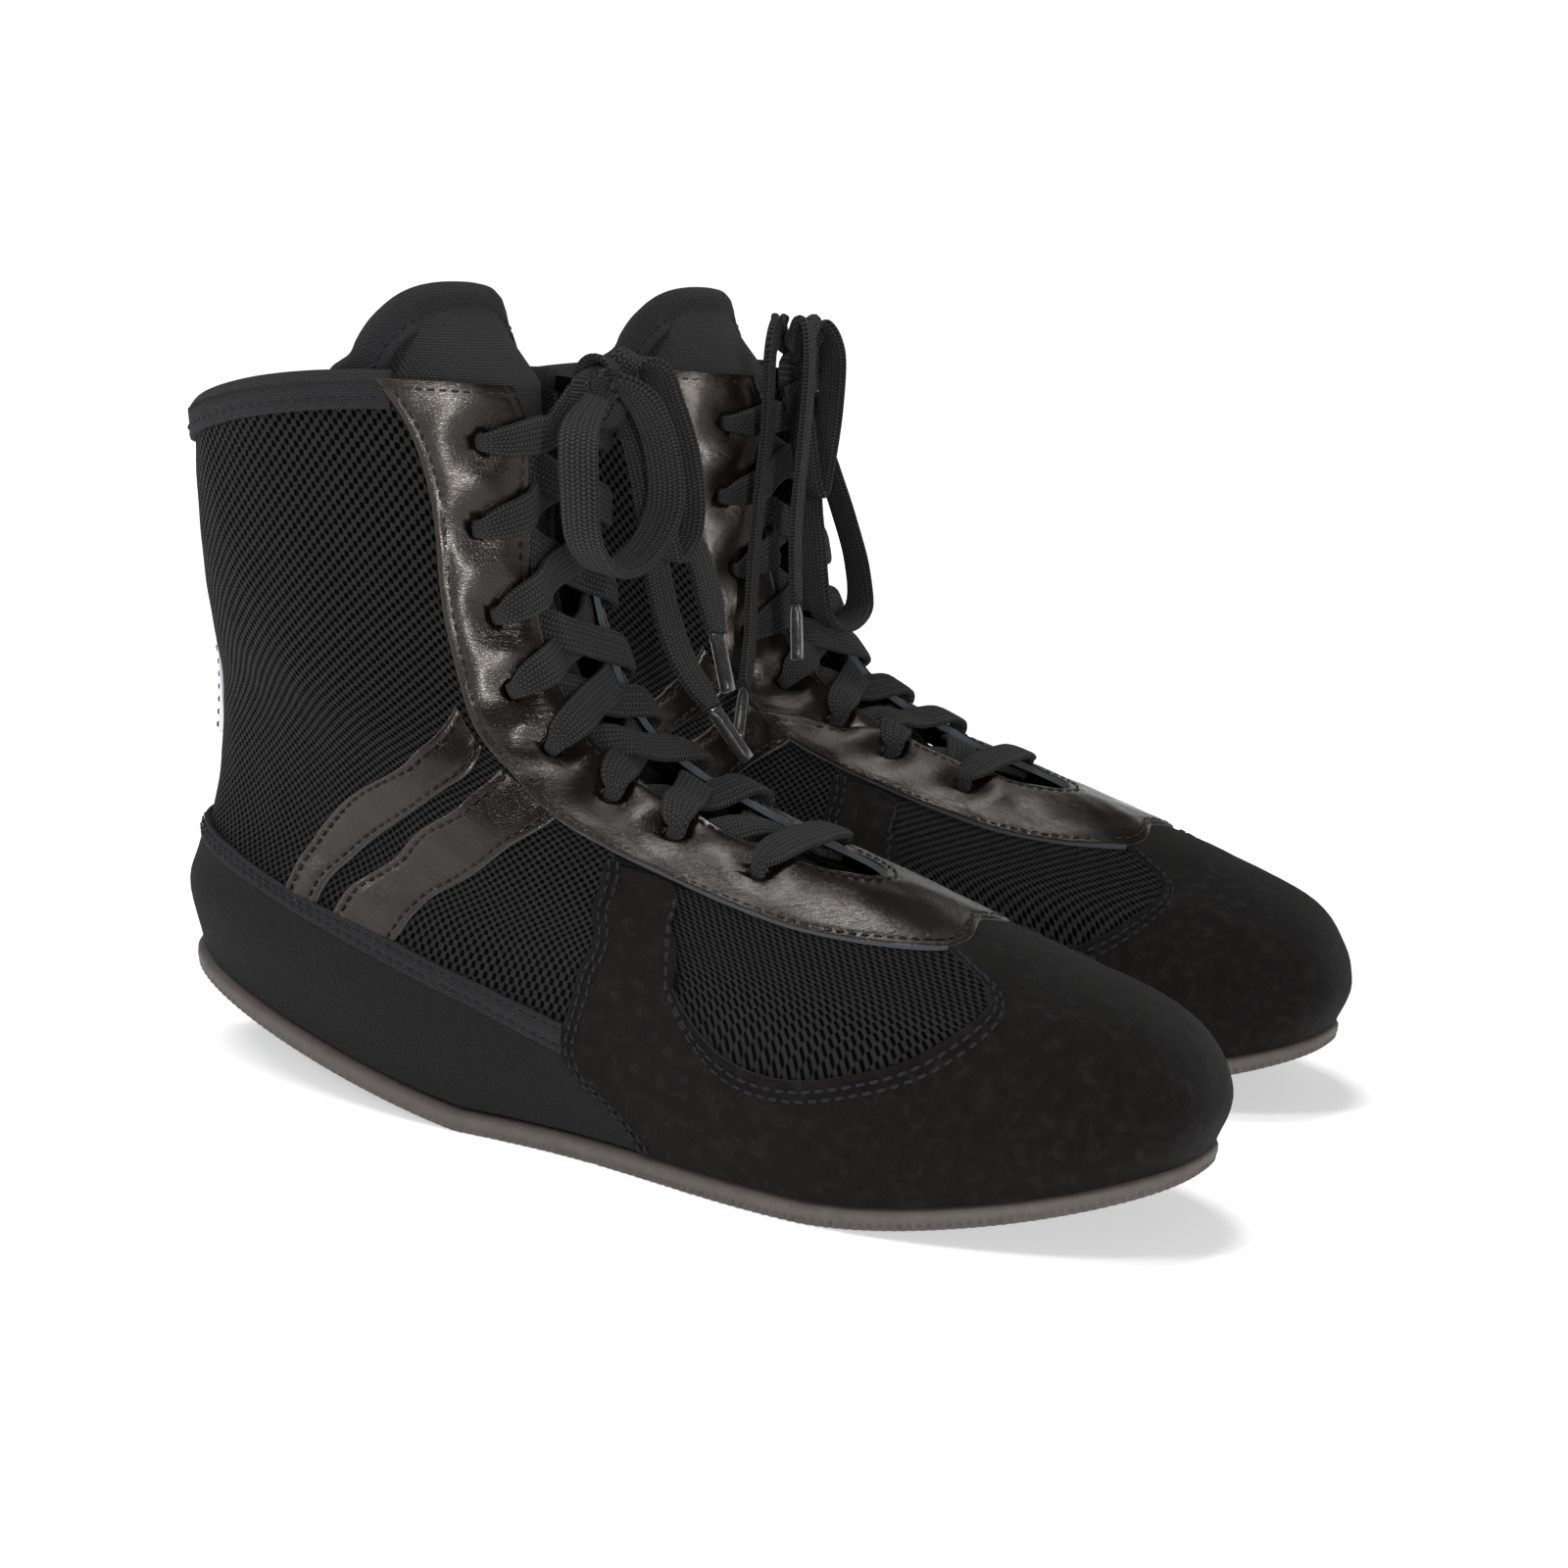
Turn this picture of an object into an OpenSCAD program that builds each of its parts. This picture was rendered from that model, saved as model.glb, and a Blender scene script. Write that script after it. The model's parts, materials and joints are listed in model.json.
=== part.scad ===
// Pair of lace-up boxing boots with thin flexible outsoles, mesh uppers,
// leather eyestays, suede toe wraps and padded canvas tongues. All lengths in mm.
// The toes point to -Y, +Z is up, and the left boot stands on the +X side.

/* [Placing] */
// Distance between the centre lines of the two boots
spacing = 134; // [126:1:170]
// How far the left boot stands behind the right one
stagger = 9; // [0:1:20]

/* [Sole] */
// Thickness of the rubber outsole
sole_t = 4; // [3:0.5:6]
// Height of the toe tip above the floor
toe_spring = 19; // [8:1:24]
// Height of the rear edge of the heel above the floor
heel_lift = 20; // [2:1:22]
// How far the outsole stands out beyond the upper's feather line
welt = 3; // [2:0.5:5]
// Thickness of the insole board
insole_t = 1.4; // [1:0.2:2.5]
// Thickness of the removable sock liner
sock_t = 2; // [1.5:0.5:4]

/* [Upper] */
// Thickness of the knitted mesh shell
mesh_t = 1.2; // [0.8:0.1:2]
// Thickness of leather, suede and canvas laid on the mesh
overlay_t = 1.1; // [0.8:0.1:1.8]
// Thickness of the soft lining
lining_t = 1; // [0.8:0.1:1.5]
// Thickness of the heel counter and the toe puff
stiffener_t = 1.1; // [0.8:0.1:1.2]

/* [Tongue] */
// Thickness of the tongue's canvas face
tongue_face_t = 1.4; // [1:0.1:2]
// Thickness of the tongue's padding and lining
tongue_pad_t = 2; // [1:0.5:4]
// Height of the tongue above the collar
tongue_rise = 23; // [10:1:30]
// How far the tongue's top leans back from the throat
tongue_lean = 4; // [0:1:8]

/* [Laces] */
// Diameter of the punched lace holes
eyelet_d = 5; // [4.6:0.2:6]
// Width of the flat lace
lace_w = 7.5; // [5:0.5:9]
// Thickness of the flat lace
lace_t = 1.4; // [1:0.1:2]
// Diameter of the lace tips
aglet_d = 3.2; // [2.6:0.2:4]

/* [Hidden] */
// Levels of the upper from the feather line to the collar, evenly spaced in v:
// front y, front z, back y, back z, half-width at the ball, half-width at the
// heel, squareness of the outline
LV = [
  [-130, 23, 122, 15, 45, 35, 2.5],
  [-133, 33, 127, 33, 48, 37, 2.5],
  [-125, 45, 126, 48, 45, 36, 2.3],
  [-102, 54, 124, 62, 36, 34, 2.0],
  [-68, 64, 123, 77, 29, 33, 1.9],
  [-27, 73, 123, 93, 29, 33, 1.9],
  [9, 88, 125, 109, 31, 35, 2.0],
  [29, 118, 126, 131, 35, 38, 2.2],
  [35, 168, 127, 154, 39, 41, 2.2]
];
NL = len(LV) - 1;
flat_front = -58;
flat_back = 32;
gap = 0.8;
feather = sole_t + 0.6;
collar_unit = 330;
origin_y = 3.1;

// Layers through the wall, as offsets from the shell's middle
shell_out = mesh_t / 2;
shell_in = -mesh_t / 2;
stiff_out = shell_in - gap;
stiff_in = stiff_out - stiffener_t;
lining_out = stiff_in - gap;
lining_in = lining_out - lining_t;
over_in = shell_out + gap;
over_out = over_in + overlay_t;
tape_in = over_out + gap;
tape_out = tape_in + 0.8;
tongue_out = -8.8;
tongue_mid = tongue_out - tongue_face_t;
pad_out = tongue_mid - gap;
pad_in = pad_out - tongue_pad_t;

// ---- small helpers ----
function lerp(a, b, t) = a + (b - a) * t;
function clamp(x, a, b) = min(max(x, a), b);
function smooth(a, b, x) = let (t = clamp((x - a) / (b - a), 0, 1)) t * t * (3 - 2 * t);
function spow(x, e) = x == 0 ? 0 : sign(x) * pow(abs(x), e);
function unit(a) = a / norm(a);
function cubic(a, b, c, d, f) =
  0.5 * (2 * b + (c - a) * f + (2 * a - 5 * b + 4 * c - d) * f * f
  + (3 * b - a - 3 * c + d) * f * f * f);
// Smooth curve through the rows of T, with x running from 0 to len(T) - 1
function end_row(T, k) =
  k < 0 ? 2 * T[0] - T[1]
  : k > len(T) - 1 ? 2 * T[len(T) - 1] - T[len(T) - 2]
  : T[k];
function through(T, x) =
  let (m = len(T) - 1, i = clamp(floor(x), 0, m - 1), f = clamp(x, 0, m) - i)
  cubic(end_row(T, i - 1), T[i], T[i + 1], end_row(T, i + 2), f);
// Straight lines between [x, y] pairs
function table(T, x, i = 0) =
  x <= T[0][0] ? T[0][1]
  : i >= len(T) - 1 ? T[len(T) - 1][1]
  : x <= T[i + 1][0]
    ? lerp(T[i][1], T[i + 1][1], (x - T[i][0]) / (T[i + 1][0] - T[i][0]))
    : table(T, x, i + 1);

// ---- the last: outer form of the upper ----
// u runs round the boot: 0 toe, 0.25 lateral, 0.5 heel, 0.75 medial.
// v runs up from the feather line at 0 to the collar at 1.
function sole_z(y) =
  toe_spring * pow(clamp((flat_front - y) / 85, 0, 1.2), 1.6)
  + heel_lift * pow(clamp((y - flat_back) / 85, 0, 1.2), 1.15);
function S(u, v) = v > 1 ? S(u, 1) + [0, 0, (v - 1) * collar_unit] :
  let (
    L = through(LV, clamp(v, 0, 1) * NL),
    c = spow(cos(360 * u), 2 / L[6]),
    s = spow(sin(360 * u), 2 / L[6]),
    k = (1 - c) / 2,
    low = 1 - smooth(0.1, 0.4, v),
    waist = (s < 0 ? 8 : 4) * low * exp(-pow((k - 0.52) / 0.17, 2)),
    w = lerp(L[4], L[5], smooth(0.2, 0.62, k)) - waist,
    y = lerp(L[0], L[2], k),
    rim = 5 * smooth(0.7, 1, v) * 4 * k * (1 - k),
    zh = lerp(L[3], L[1], 1 - k) + rim,
    zl = sole_z(y) + feather + zh - lerp(LV[0][3], LV[0][1], 1 - k)
  )
  [w * s - 6 * low * (1 - k) * (1 - k), y, lerp(zl, zh, smooth(0, 0.3, v))];
function N(u, v) =
  let (d = 0.002, w = clamp(v, d, 1 - d))
  unit(cross(S(u + d, w) - S(u - d, w), S(u, w + d) - S(u, w - d)));
function P(u, v, t) = S(u, v) + t * N(u, v);

// ---- solids between two offsets of a grid of [u, v] points ----
function turn(g) =
  let (a = g[0][1] - g[0][0], b = g[1][0] - g[0][0]) a[0] * b[1] - a[1] * b[0];
function tri(a, b, c, d, flip) = flip ? [[a, b, c], [a, c, d]] : [[a, c, b], [a, d, c]];
function cat(L) = [for (a = L) each a];
module shell_grid(outer, inner, flip = false, closed = false) {
  nr = len(outer);
  nc = len(outer[0]);
  n = nr * nc;
  cs = closed ? nc : nc - 1;
  faces = cat([
    for (r = [0:nr - 2], c = [0:cs - 1])
      let (d = (c + 1) % nc, a = r * nc + c, b = r * nc + d)
      concat(tri(a, b, b + nc, a + nc, flip), tri(n + a, n + a + nc, n + b + nc, n + b, flip)),
    for (c = [0:cs - 1])
      let (d = (c + 1) % nc, e = (nr - 1) * nc)
      concat(tri(c, n + c, n + d, d, flip), tri(e + c, e + d, n + e + d, n + e + c, flip)),
    if (!closed) for (r = [0:nr - 2])
      let (a = r * nc, b = a + nc, e = a + nc - 1, f = e + nc)
      concat(tri(a, b, n + b, n + a, flip), tri(e, n + e, n + f, f, flip))
  ]);
  polyhedron(points = concat(cat(outer), cat(inner)), faces = faces, convexity = 8);
}
module skin(g, t0, t1, closed = false) {
  outer = [for (row = g) [for (p = row) P(p[0], p[1], t1)]];
  inner = [for (row = g) [for (p = row) P(p[0], p[1], t0)]];
  shell_grid(outer, inner, turn(g) < 0, closed);
}
// Band between two outlines of [u, v] points, n steps long and m steps wide
function band(A, B, x0, x1, n, m) =
  [for (i = [0:n])
    let (x = lerp(x0, x1, i / n), a = through(A, x), b = through(B, x))
    [for (j = [0:m]) lerp(a, b, j / m)]];

// ---- outlines on the last, as [v, u] or [u, v] ----
QUARTER_FRONT = [[0, 0.25], [0.1, 0.25], [0.25, 0.243], [0.38, 0.225], [0.48, 0.2],
  [0.56, 0.176], [0.62, 0.158], [0.7, 0.143], [0.8, 0.133], [1, 0.128]];
VAMP_TOP = [[0, 0.478], [0.45, 0.44], [0.75, 0.45], [1, 0.475]];
SUEDE_TOP = [[0, 0.44], [0.2, 0.428], [0.36, 0.395], [0.41, 0.325], [0.46, 0.285],
  [0.52, 0.255], [0.6, 0.217], [0.7, 0.187], [0.78, 0.168], [0.84, 0.172],
  [0.875, 0.2], [0.886, 0.25], [0.893, 0.31], [0.898, 0.38], [0.903, 0.448], [1, 0.472]];
THROAT_IN = [[0.050, 1], [0.052, 0.965], [0.055, 0.92], [0.06, 0.86], [0.065, 0.8],
  [0.068, 0.74], [0.07, 0.68], [0.072, 0.62], [0.07, 0.57], [0.055, 0.535],
  [0.028, 0.517], [0.008, 0.512], [0, 0.511]];
THROAT_OUT = [[0.185, 1], [0.158, 0.965], [0.144, 0.92], [0.148, 0.86], [0.155, 0.8],
  [0.168, 0.735], [0.18, 0.67], [0.194, 0.6], [0.197, 0.54], [0.185, 0.485],
  [0.15, 0.418], [0.085, 0.41], [0, 0.453]];
TAPE_TOP = [[0.25, 0.157], [0.28, 0.192], [0.31, 0.22], [0.35, 0.247], [0.4, 0.293],
  [0.45, 0.32], [0.5, 0.335]];
TAPE_LOW = [[0.25, 0.118], [0.28, 0.16], [0.31, 0.183], [0.35, 0.212], [0.4, 0.25],
  [0.45, 0.28], [0.5, 0.295]];
REAR_BAND_A = [[0.18, 0.745], [0.239, 0.653], [0.307, 0.527], [0.339, 0.433],
  [0.354, 0.34], [0.357, 0.265]];
REAR_BAND_B = [[0.187, 0.69], [0.225, 0.62], [0.269, 0.543], [0.314, 0.427],
  [0.335, 0.325], [0.341, 0.252]];
FRONT_BAND_A = [[0.197, 0.645], [0.238, 0.573], [0.288, 0.467], [0.31, 0.38],
  [0.326, 0.3], [0.332, 0.25]];
FRONT_BAND_B = [[0.21, 0.55], [0.235, 0.5], [0.262, 0.437], [0.289, 0.343],
  [0.3, 0.27], [0.306, 0.232]];
// Lace holes from the collar down: u and v
HOLES = [[0.1, 0.968], [0.106, 0.92], [0.1, 0.865], [0.112, 0.8], [0.114, 0.737],
  [0.122, 0.662], [0.126, 0.595], [0.124, 0.522]];
NH = len(HOLES);

function mirror_uv(T) = [for (p = T) [-p[0], p[1]]];
function quarter_front(v) = table(QUARTER_FRONT, v);

// ---- ribbons: flat closed sweeps along points ----
function frame(T, W) = let (w = unit(W - (W * T) * T)) [w, cross(T, w)];
module ribbon(pts, wid, thk, W, sides = 6) {
  n = len(pts);
  rings = [for (i = [0:n - 1])
    let (
      T = unit(pts[min(i + 1, n - 1)] - pts[max(i - 1, 0)]),
      F = frame(T, W[i]),
      w = wid[i] / 2,
      h = thk[i] / 2
    )
    [for (k = [0:sides - 1])
      let (a = 360 * (k + (sides == 4 ? 0.5 : 0)) / sides)
      pts[i] + F[0] * w * spow(cos(a), 0.6) + F[1] * h * spow(sin(a), 0.6)]];
  side_faces = cat([for (i = [0:n - 2], k = [0:sides - 1])
    let (a = i * sides + k, b = i * sides + (k + 1) % sides)
    [[a, b + sides, b], [a, a + sides, b + sides]]]);
  ends = [[for (k = [0:sides - 1]) k], [for (k = [sides - 1:-1:0]) (n - 1) * sides + k]];
  polyhedron(points = cat(rings), faces = concat(side_faces, ends), convexity = 8);
}
// A free lace along hand-set points, with a ring every step along the curve
module cord(route, W, per = 2, w = lace_w, t = lace_t + 0.6) {
  n = (len(route) - 1) * per;
  pts = [for (i = [0:n]) through(route, i / per)];
  ribbon(pts, [for (p = pts) w], [for (p = pts) t], [for (p = pts) W], 8);
}

// ---- placing ----
module left_place() {
  translate([spacing / 2, stagger / 2 + origin_y, 0]) children();
}
module right_place() {
  mirror([1, 0, 0]) translate([spacing / 2, -stagger / 2 + origin_y, 0]) children();
}

// ---- parts of one boot, modelled as the left one ----
function foot(u, g) =
  let (p = S(u, 0), q = S(u + 0.003, 0) - S(u - 0.003, 0), m = norm([q[0], q[1]]))
  [p[0] + g * q[1] / m, p[1] - g * q[0] / m];
PROFILE_Y = concat([for (y = [-140:7:flat_front]) min(y, flat_front)], [flat_front],
  [flat_back], [for (y = [flat_back + 9:9:136]) y]);
module plate(g, z0, z1, steps) {
  n = len(PROFILE_Y);
  intersection() {
    translate([0, 0, -5]) linear_extrude(60)
      polygon([for (i = [0:steps - 1]) foot(i / steps, g)]);
    translate([-70, 0, 0]) rotate([90, 0, 90]) linear_extrude(140)
      polygon(concat(
        [for (y = PROFILE_Y) [y, sole_z(y) + z0]],
        [for (i = [n - 1:-1:0]) [PROFILE_Y[i], sole_z(PROFILE_Y[i]) + z1]]));
  }
}
module outsole() { plate(welt, 0, sole_t, 64); }
module insole_board() { plate(lining_in - 1.2, sole_t + 0.3, sole_t + 0.3 + insole_t, 44); }
module sock_liner() {
  plate(lining_in - 2.2, sole_t + insole_t + 0.6, sole_t + insole_t + 0.6 + sock_t, 44);
}

// Columns round the front of the boot, as shares of the quarters' front edge
VAMP_STEPS = [0, 0.1, 0.2, 0.3, 0.41, 0.52, 0.6, 0.7, 0.78, 0.875, 1];
SUEDE_STEPS = [0, 0.1, 0.2, 0.3, 0.36, 0.41, 0.46, 0.52, 0.6, 0.7, 0.78, 0.84, 0.875, 0.886,
  0.893, 0.898, 0.903, 1];
function both_ways(T) = concat([for (i = [len(T) - 1:-1:1]) -T[i]], T);
function quarter_grid(side, nv, nu) =
  [for (i = [0:nv])
    let (v = lerp(0.02, 0.985, i / nv), a = quarter_front(v) + 0.004)
    [for (j = [0:nu]) let (u = lerp(a, 0.499, pow(j / nu, 1.25))) [side * u, v]]];
module quarter(side) { skin(quarter_grid(side, 12, 11), shell_in, shell_out); }
module vamp() {
  g = [for (i = [0:6])
    [for (a = both_ways(VAMP_STEPS))
      let (v = lerp(0.02, table(VAMP_TOP, abs(a)), i / 6))
      [a * (quarter_front(v) - 0.001), v]]];
  skin(g, shell_in, shell_out);
}
module vamp_lining() {
  g = [for (v = [0.03:0.084:0.4501]) [for (i = [0:27]) [i / 28, v]]];
  skin(g, lining_in, lining_out, true);
}
module quarter_lining() {
  g = [for (i = [0:5])
    [for (u = [0.156:0.0344:0.8441]) [u, lerp(0.458, 0.985, i / 5)]]];
  skin(g, lining_in, lining_out);
}
module heel_counter() {
  g = [for (i = [0:4])
    [for (u = [0.33:0.02:0.671])
      let (top = 0.34 - 0.16 * pow(abs(u - 0.5) / 0.17, 2.5))
      [u, lerp(0.03, top, i / 4)]]];
  skin(g, stiff_in, stiff_out);
}
module toe_puff() {
  g = [for (i = [0:4])
    [for (u = [-0.14:0.02:0.141])
      let (top = 0.34 - 0.2 * pow(abs(u) / 0.14, 2.5))
      [u, lerp(0.03, top, i / 4)]]];
  skin(g, stiff_in, stiff_out);
}
module suede_toe() {
  g = [for (i = [0:5])
    [for (a = both_ways(SUEDE_STEPS))
      let (v = lerp(0.02, table(SUEDE_TOP, abs(a)), i / 5))
      [a * (quarter_front(v) - 0.002), v]]];
  skin(g, over_in, over_out);
}
module side_canvas() {
  g = [for (i = [0:3])
    [for (w = [0.255:0.0245:0.7451])
      let (k = min(w, 1 - w)) [w, lerp(0.02, table(TAPE_TOP, k) - 0.003, i / 3)]]];
  skin(g, over_in, over_out);
}
module band_tape() {
  g = [for (i = [0:1])
    [for (w = [0.255:0.0245:0.7451])
      let (k = min(w, 1 - w)) [w, lerp(table(TAPE_LOW, k), table(TAPE_TOP, k), i)]]];
  skin(g, tape_in, tape_out);
}
module side_bands(A, B) {
  skin(band(A, B, 0.15, 4.85, 9, 2), over_in, over_out);
  skin(band(mirror_uv(A), mirror_uv(B), 0.15, 4.85, 9, 2), over_in, over_out);
}
module heel_patch() {
  g = [for (v = [0.5:0.06:0.681]) [for (u = [0.476:0.008:0.5241]) [u, v]]];
  skin(g, over_in, over_out);
}
module lace_hole(side, k) {
  p = HOLES[k];
  n = N(side * p[0], p[1]);
  c = P(side * p[0], p[1], (over_in + over_out) / 2);
  ry = acos(n[2]);
  rz = atan2(n[1], n[0]);
  translate(c) rotate([0, ry, rz]) cylinder(d = eyelet_d, h = 7, center = true, $fn = 16);
}
// The outlines run down one side, round the tip and up to the other side's seam
ALL_IN = concat(THROAT_IN, [for (i = [11:-1:0]) [-THROAT_IN[i][0], THROAT_IN[i][1]]]);
ALL_OUT = concat(THROAT_OUT, [for (i = [11:-1:0]) [-THROAT_OUT[i][0], THROAT_OUT[i][1]]]);
seam_at = 17.6;
module eyestay_lateral() {
  difference() {
    skin(band(ALL_IN, ALL_OUT, 0, seam_at, 34, 4), over_in, over_out);
    for (k = [0:NH - 1]) lace_hole(1, k);
    for (k = [6:NH - 1]) lace_hole(-1, k);
  }
}
module eyestay_medial() {
  difference() {
    skin(band(ALL_IN, ALL_OUT, seam_at + 0.1, 24, 14, 4), over_in, over_out);
    for (k = [0:5]) lace_hole(-1, k);
  }
}
module collar_binding() {
  cover_in = lining_in - gap - 0.9;
  loop = [[0.95, over_in], [0.95, over_out], [1.008, over_out], [1.008, cover_in],
    [0.95, cover_in], [0.95, lining_in - gap], [0.998, lining_in - gap],
    [0.998, over_in]];
  us = [for (i = [0:26]) lerp(0.192, 0.808, i / 26)];
  nl = len(loop);
  n = len(us);
  pts = [for (u = us, p = loop) P(u, p[0], p[1])];
  sides = cat([for (i = [0:n - 2], k = [0:nl - 1])
    let (a = i * nl + k, b = i * nl + (k + 1) % nl)
    [[a, b, b + nl], [a, b + nl, a + nl]]]);
  cap = [[0, 1, 2], [0, 2, 7], [2, 6, 7], [2, 3, 6], [3, 5, 6], [3, 4, 5]];
  ends = concat([for (f = cap) [f[2], f[1], f[0]]], [for (f = cap) f + (n - 1) * nl * [1, 1, 1]]);
  polyhedron(points = pts, faces = concat(sides, ends), convexity = 8);
}

// ---- tongue ----
// a runs across from -1 to 1, and w up from 0 to 1 at the collar and 2 at the top
function tongue_half(w) = table([[0, 0.105], [0.3, 0.145], [0.6, 0.185], [1, 0.225]], w);
function tongue_point(a, w, t) =
  let (v = lerp(0.672, 1, min(w, 1)), u = a * tongue_half(min(w, 1)),
    arch = pow(max(1 - 0.97 * pow(abs(a), 2.4), 0), 0.6),
    h = max(w - 1, 0) * tongue_rise * arch)
  P(u, v, t) + h * [0, 0.3, 0.95] + [0, tongue_lean * smooth(0.3, 2, w), 0];
TONGUE_ROWS = [0, 0.15, 0.3, 0.45, 0.6, 0.8, 1, 1.35, 1.7, 2];
module tongue_layer(t0, t1, edge, step) {
  as = [for (a = [-1:step:1.001]) a * edge];
  outer = [for (w = TONGUE_ROWS) [for (a = as) tongue_point(a, min(w, 2 - (1 - edge)), t1)]];
  inner = [for (w = TONGUE_ROWS) [for (a = as) tongue_point(a, min(w, 2 - (1 - edge)), t0)]];
  shell_grid(outer, inner);
}
module tongue() { tongue_layer(tongue_mid, tongue_out, 1, 0.2); }
module tongue_pad() { tongue_layer(pad_in, pad_out, 0.96, 0.24); }
module tongue_binding() {
  side = [for (w = [0.1, 0.3, 0.5, 0.75, 1, 1.4, 1.75]) [1, w]];
  top = [[0.93, 1.93], [0.72, 1.98], [0.45, 1.99], [0.2, 2], [0, 2]];
  right = concat(side, top);
  path = concat(right, [for (i = [len(right) - 2:-1:0]) [-right[i][0], right[i][1]]]);
  outer = [for (p = path)
    [tongue_point(p[0] * 0.99, p[1], tongue_out + 1.9),
      tongue_point(p[0] * 0.84, p[1] - (p[1] > 1.6 ? 0.3 : 0), tongue_out + 1.9)]];
  inner = [for (p = path)
    [tongue_point(p[0] * 0.99, p[1], tongue_out + 1.1),
      tongue_point(p[0] * 0.84, p[1] - (p[1] > 1.6 ? 0.3 : 0), tongue_out + 1.1)]];
  shell_grid(outer, inner, true);
}
module tongue_base() {
  g = [for (v = [0.5:0.0305:0.6531]) [for (a = [-1:0.25:1]) [a * lerp(0.07, 0.1, (v - 0.5) / 0.15), v]]];
  skin(g, tongue_mid, tongue_out);
}

// ---- lacing: one lace through all the holes ----
// Points of one crossing from hole k + 1 on side s up to hole k on the other side:
// under its own flap, across the tongue, over the other flap, down into the hole.
// Each row: u, v, offset, width, thickness
function crossing(s, k, lift) =
  let (a = HOLES[k + 1], b = HOLES[k], m = (a + b) / 2, i = lace_t / 2)
  [
    [s * a[0], a[1], -0.6, 3.4, 1.7],
    [s * (a[0] - 0.012), lerp(a[1], b[1], 0.06), -1.3, 5, lace_t],
    [s * (a[0] - 0.045), lerp(a[1], b[1], 0.2), -1.6, lace_w, lace_t],
    [s * 0.02, m[1] - 0.003, lift, lace_w, lace_t],
    [-s * 0.02, m[1] + 0.003, lift, lace_w, lace_t],
    [-s * (b[0] - 0.05), lerp(a[1], b[1], 0.82), over_out + 0.5 + i, lace_w, lace_t],
    [-s * (b[0] - 0.02), lerp(a[1], b[1], 0.96), over_out + 0.9 + i, 5, lace_t],
    [-s * (b[0] - 0.001), b[1], over_out + 0.9, 3.6, 1.7]
  ];
function flip_s(k) = k % 2 == 0 ? 1 : -1;
function strand(s) = cat([for (k = [NH - 2:-1:0])
  crossing(s * flip_s(NH - 2 - k), k, s > 0 ? -1.7 : 0.6)]);
function bar_points() =
  let (p = HOLES[NH - 1], i = lace_t / 2)
  [for (x = [-1, -0.72, -0.35, 0, 0.35, 0.72, 1])
    [x * p[0], p[1] + 0.003 * (1 - abs(x)), over_out + 0.5 + i,
      abs(x) > 0.9 ? 3.6 : abs(x) > 0.6 ? 6 : lace_w, abs(x) > 0.9 ? 1.7 : lace_t]];
// From the top hole under the flap towards the knot
function tail_up(s) =
  let (b = HOLES[0])
  [
    [s * b[0], b[1], -0.6, 3.4, 1.7],
    [s * (b[0] - 0.012), b[1] + 0.002, -1.3, 5, lace_t],
    [s * (b[0] - 0.045), b[1] + 0.006, -1.6, lace_w, lace_t],
    [s * 0.036, b[1] + 0.01, 3, 6, lace_t]
  ];
module lacing(knot_at) {
  turns = NH - 2;
  up = concat(strand(1), tail_up(-flip_s(turns)));
  other = concat(strand(-1), tail_up(flip_s(turns)));
  route = concat([for (i = [len(other) - 1:-1:0]) other[i]], bar_points(), up);
  sg = flip_s(turns);
  ends = [knot_at + [sg * 5, 2, 0], knot_at + [-sg * 5, 2, 0]];
  pts = concat([ends[0]], [for (r = route) P(r[0], r[1], r[2])], [ends[1]]);
  up_dir = [for (r = route) let (d = 0.01) unit(S(r[0], r[1] + d) - S(r[0], r[1] - d))];
  wide = concat([[0, 0.3, 1]], up_dir, [[0, 0.3, 1]]);
  w = concat([6], [for (r = route) r[3]], [6]);
  t = concat([lace_t], [for (r = route) r[4]], [lace_t]);
  ribbon(pts, w, t, wide, 4);
}

// ---- bows: routes set by hand in the left boot's frame ----
R_KNOT = [1, 25, 168];
L_KNOT = [-8, 28, 171];
R_LOOP_A = [[5, 22, 167], [9, 17, 171], [4, 12, 167], [-3, 10, 156], [-6, 10, 143], [3, 10, 133],
  [17, 10, 130], [29, 10, 137], [33, 10, 150], [29, 13, 161], [12, 19, 167]];
R_LOOP_B = [[0, 23, 169], [-2, 20, 175], [-7, 16, 174], [-13, 15, 166], [-19, 14, 156],
  [-24, 14, 144], [-23, 14, 135], [-16, 14, 131], [-11, 15, 140], [-8, 17, 152], [-5, 21, 163]];
R_TAIL_A = [[-3, 23, 166], [-12, 22, 158], [-18, 22, 147], [-21, 21, 134], [-19, 16, 120],
  [-16, 8, 107], [-17, 0, 97]];
R_TAIL_B = [[-6, 24, 171], [-19, 21, 163], [-27, 21, 151], [-30, 19, 139], [-30, 12, 127],
  [-26, 5, 113]];
L_LOOP_A = [[-14, 27, 171], [-14, 24, 179], [-13, 21, 183], [-11, 18, 176], [-12, 17, 162],
  [-14, 17, 149], [-17, 17, 140], [-20, 18, 144], [-20, 21, 157], [-16, 26, 167]];
L_LOOP_B = [[-7, 28, 169], [-4, 25, 156], [0, 22, 145], [4, 18, 132], [8, 15, 119], [7, 13, 108],
  [-6, 12, 104], [-16, 13, 108], [-18, 15, 119], [-13, 20, 132], [-8, 25, 150], [-7, 27, 163]];
L_TAIL_A = [[-8, 31, 172], [-12, 32, 178], [-20, 30, 181], [-27, 28, 177], [-27, 28, 168],
  [-26, 28, 156], [-27, 28, 143], [-28, 28, 129], [-30, 27, 114], [-33, 25, 100], [-40, 22, 89]];
L_TAIL_B = [[-12, 27, 174], [-20, 25, 180], [-25, 19, 183], [-28, 16, 173], [-30, 15, 158],
  [-33, 14, 143], [-37, 12, 129], [-39, 10, 118], [-40, 9, 113]];
WY = [0.3, 1, 0.15];
WX = [1, 0.25, 0];
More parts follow.
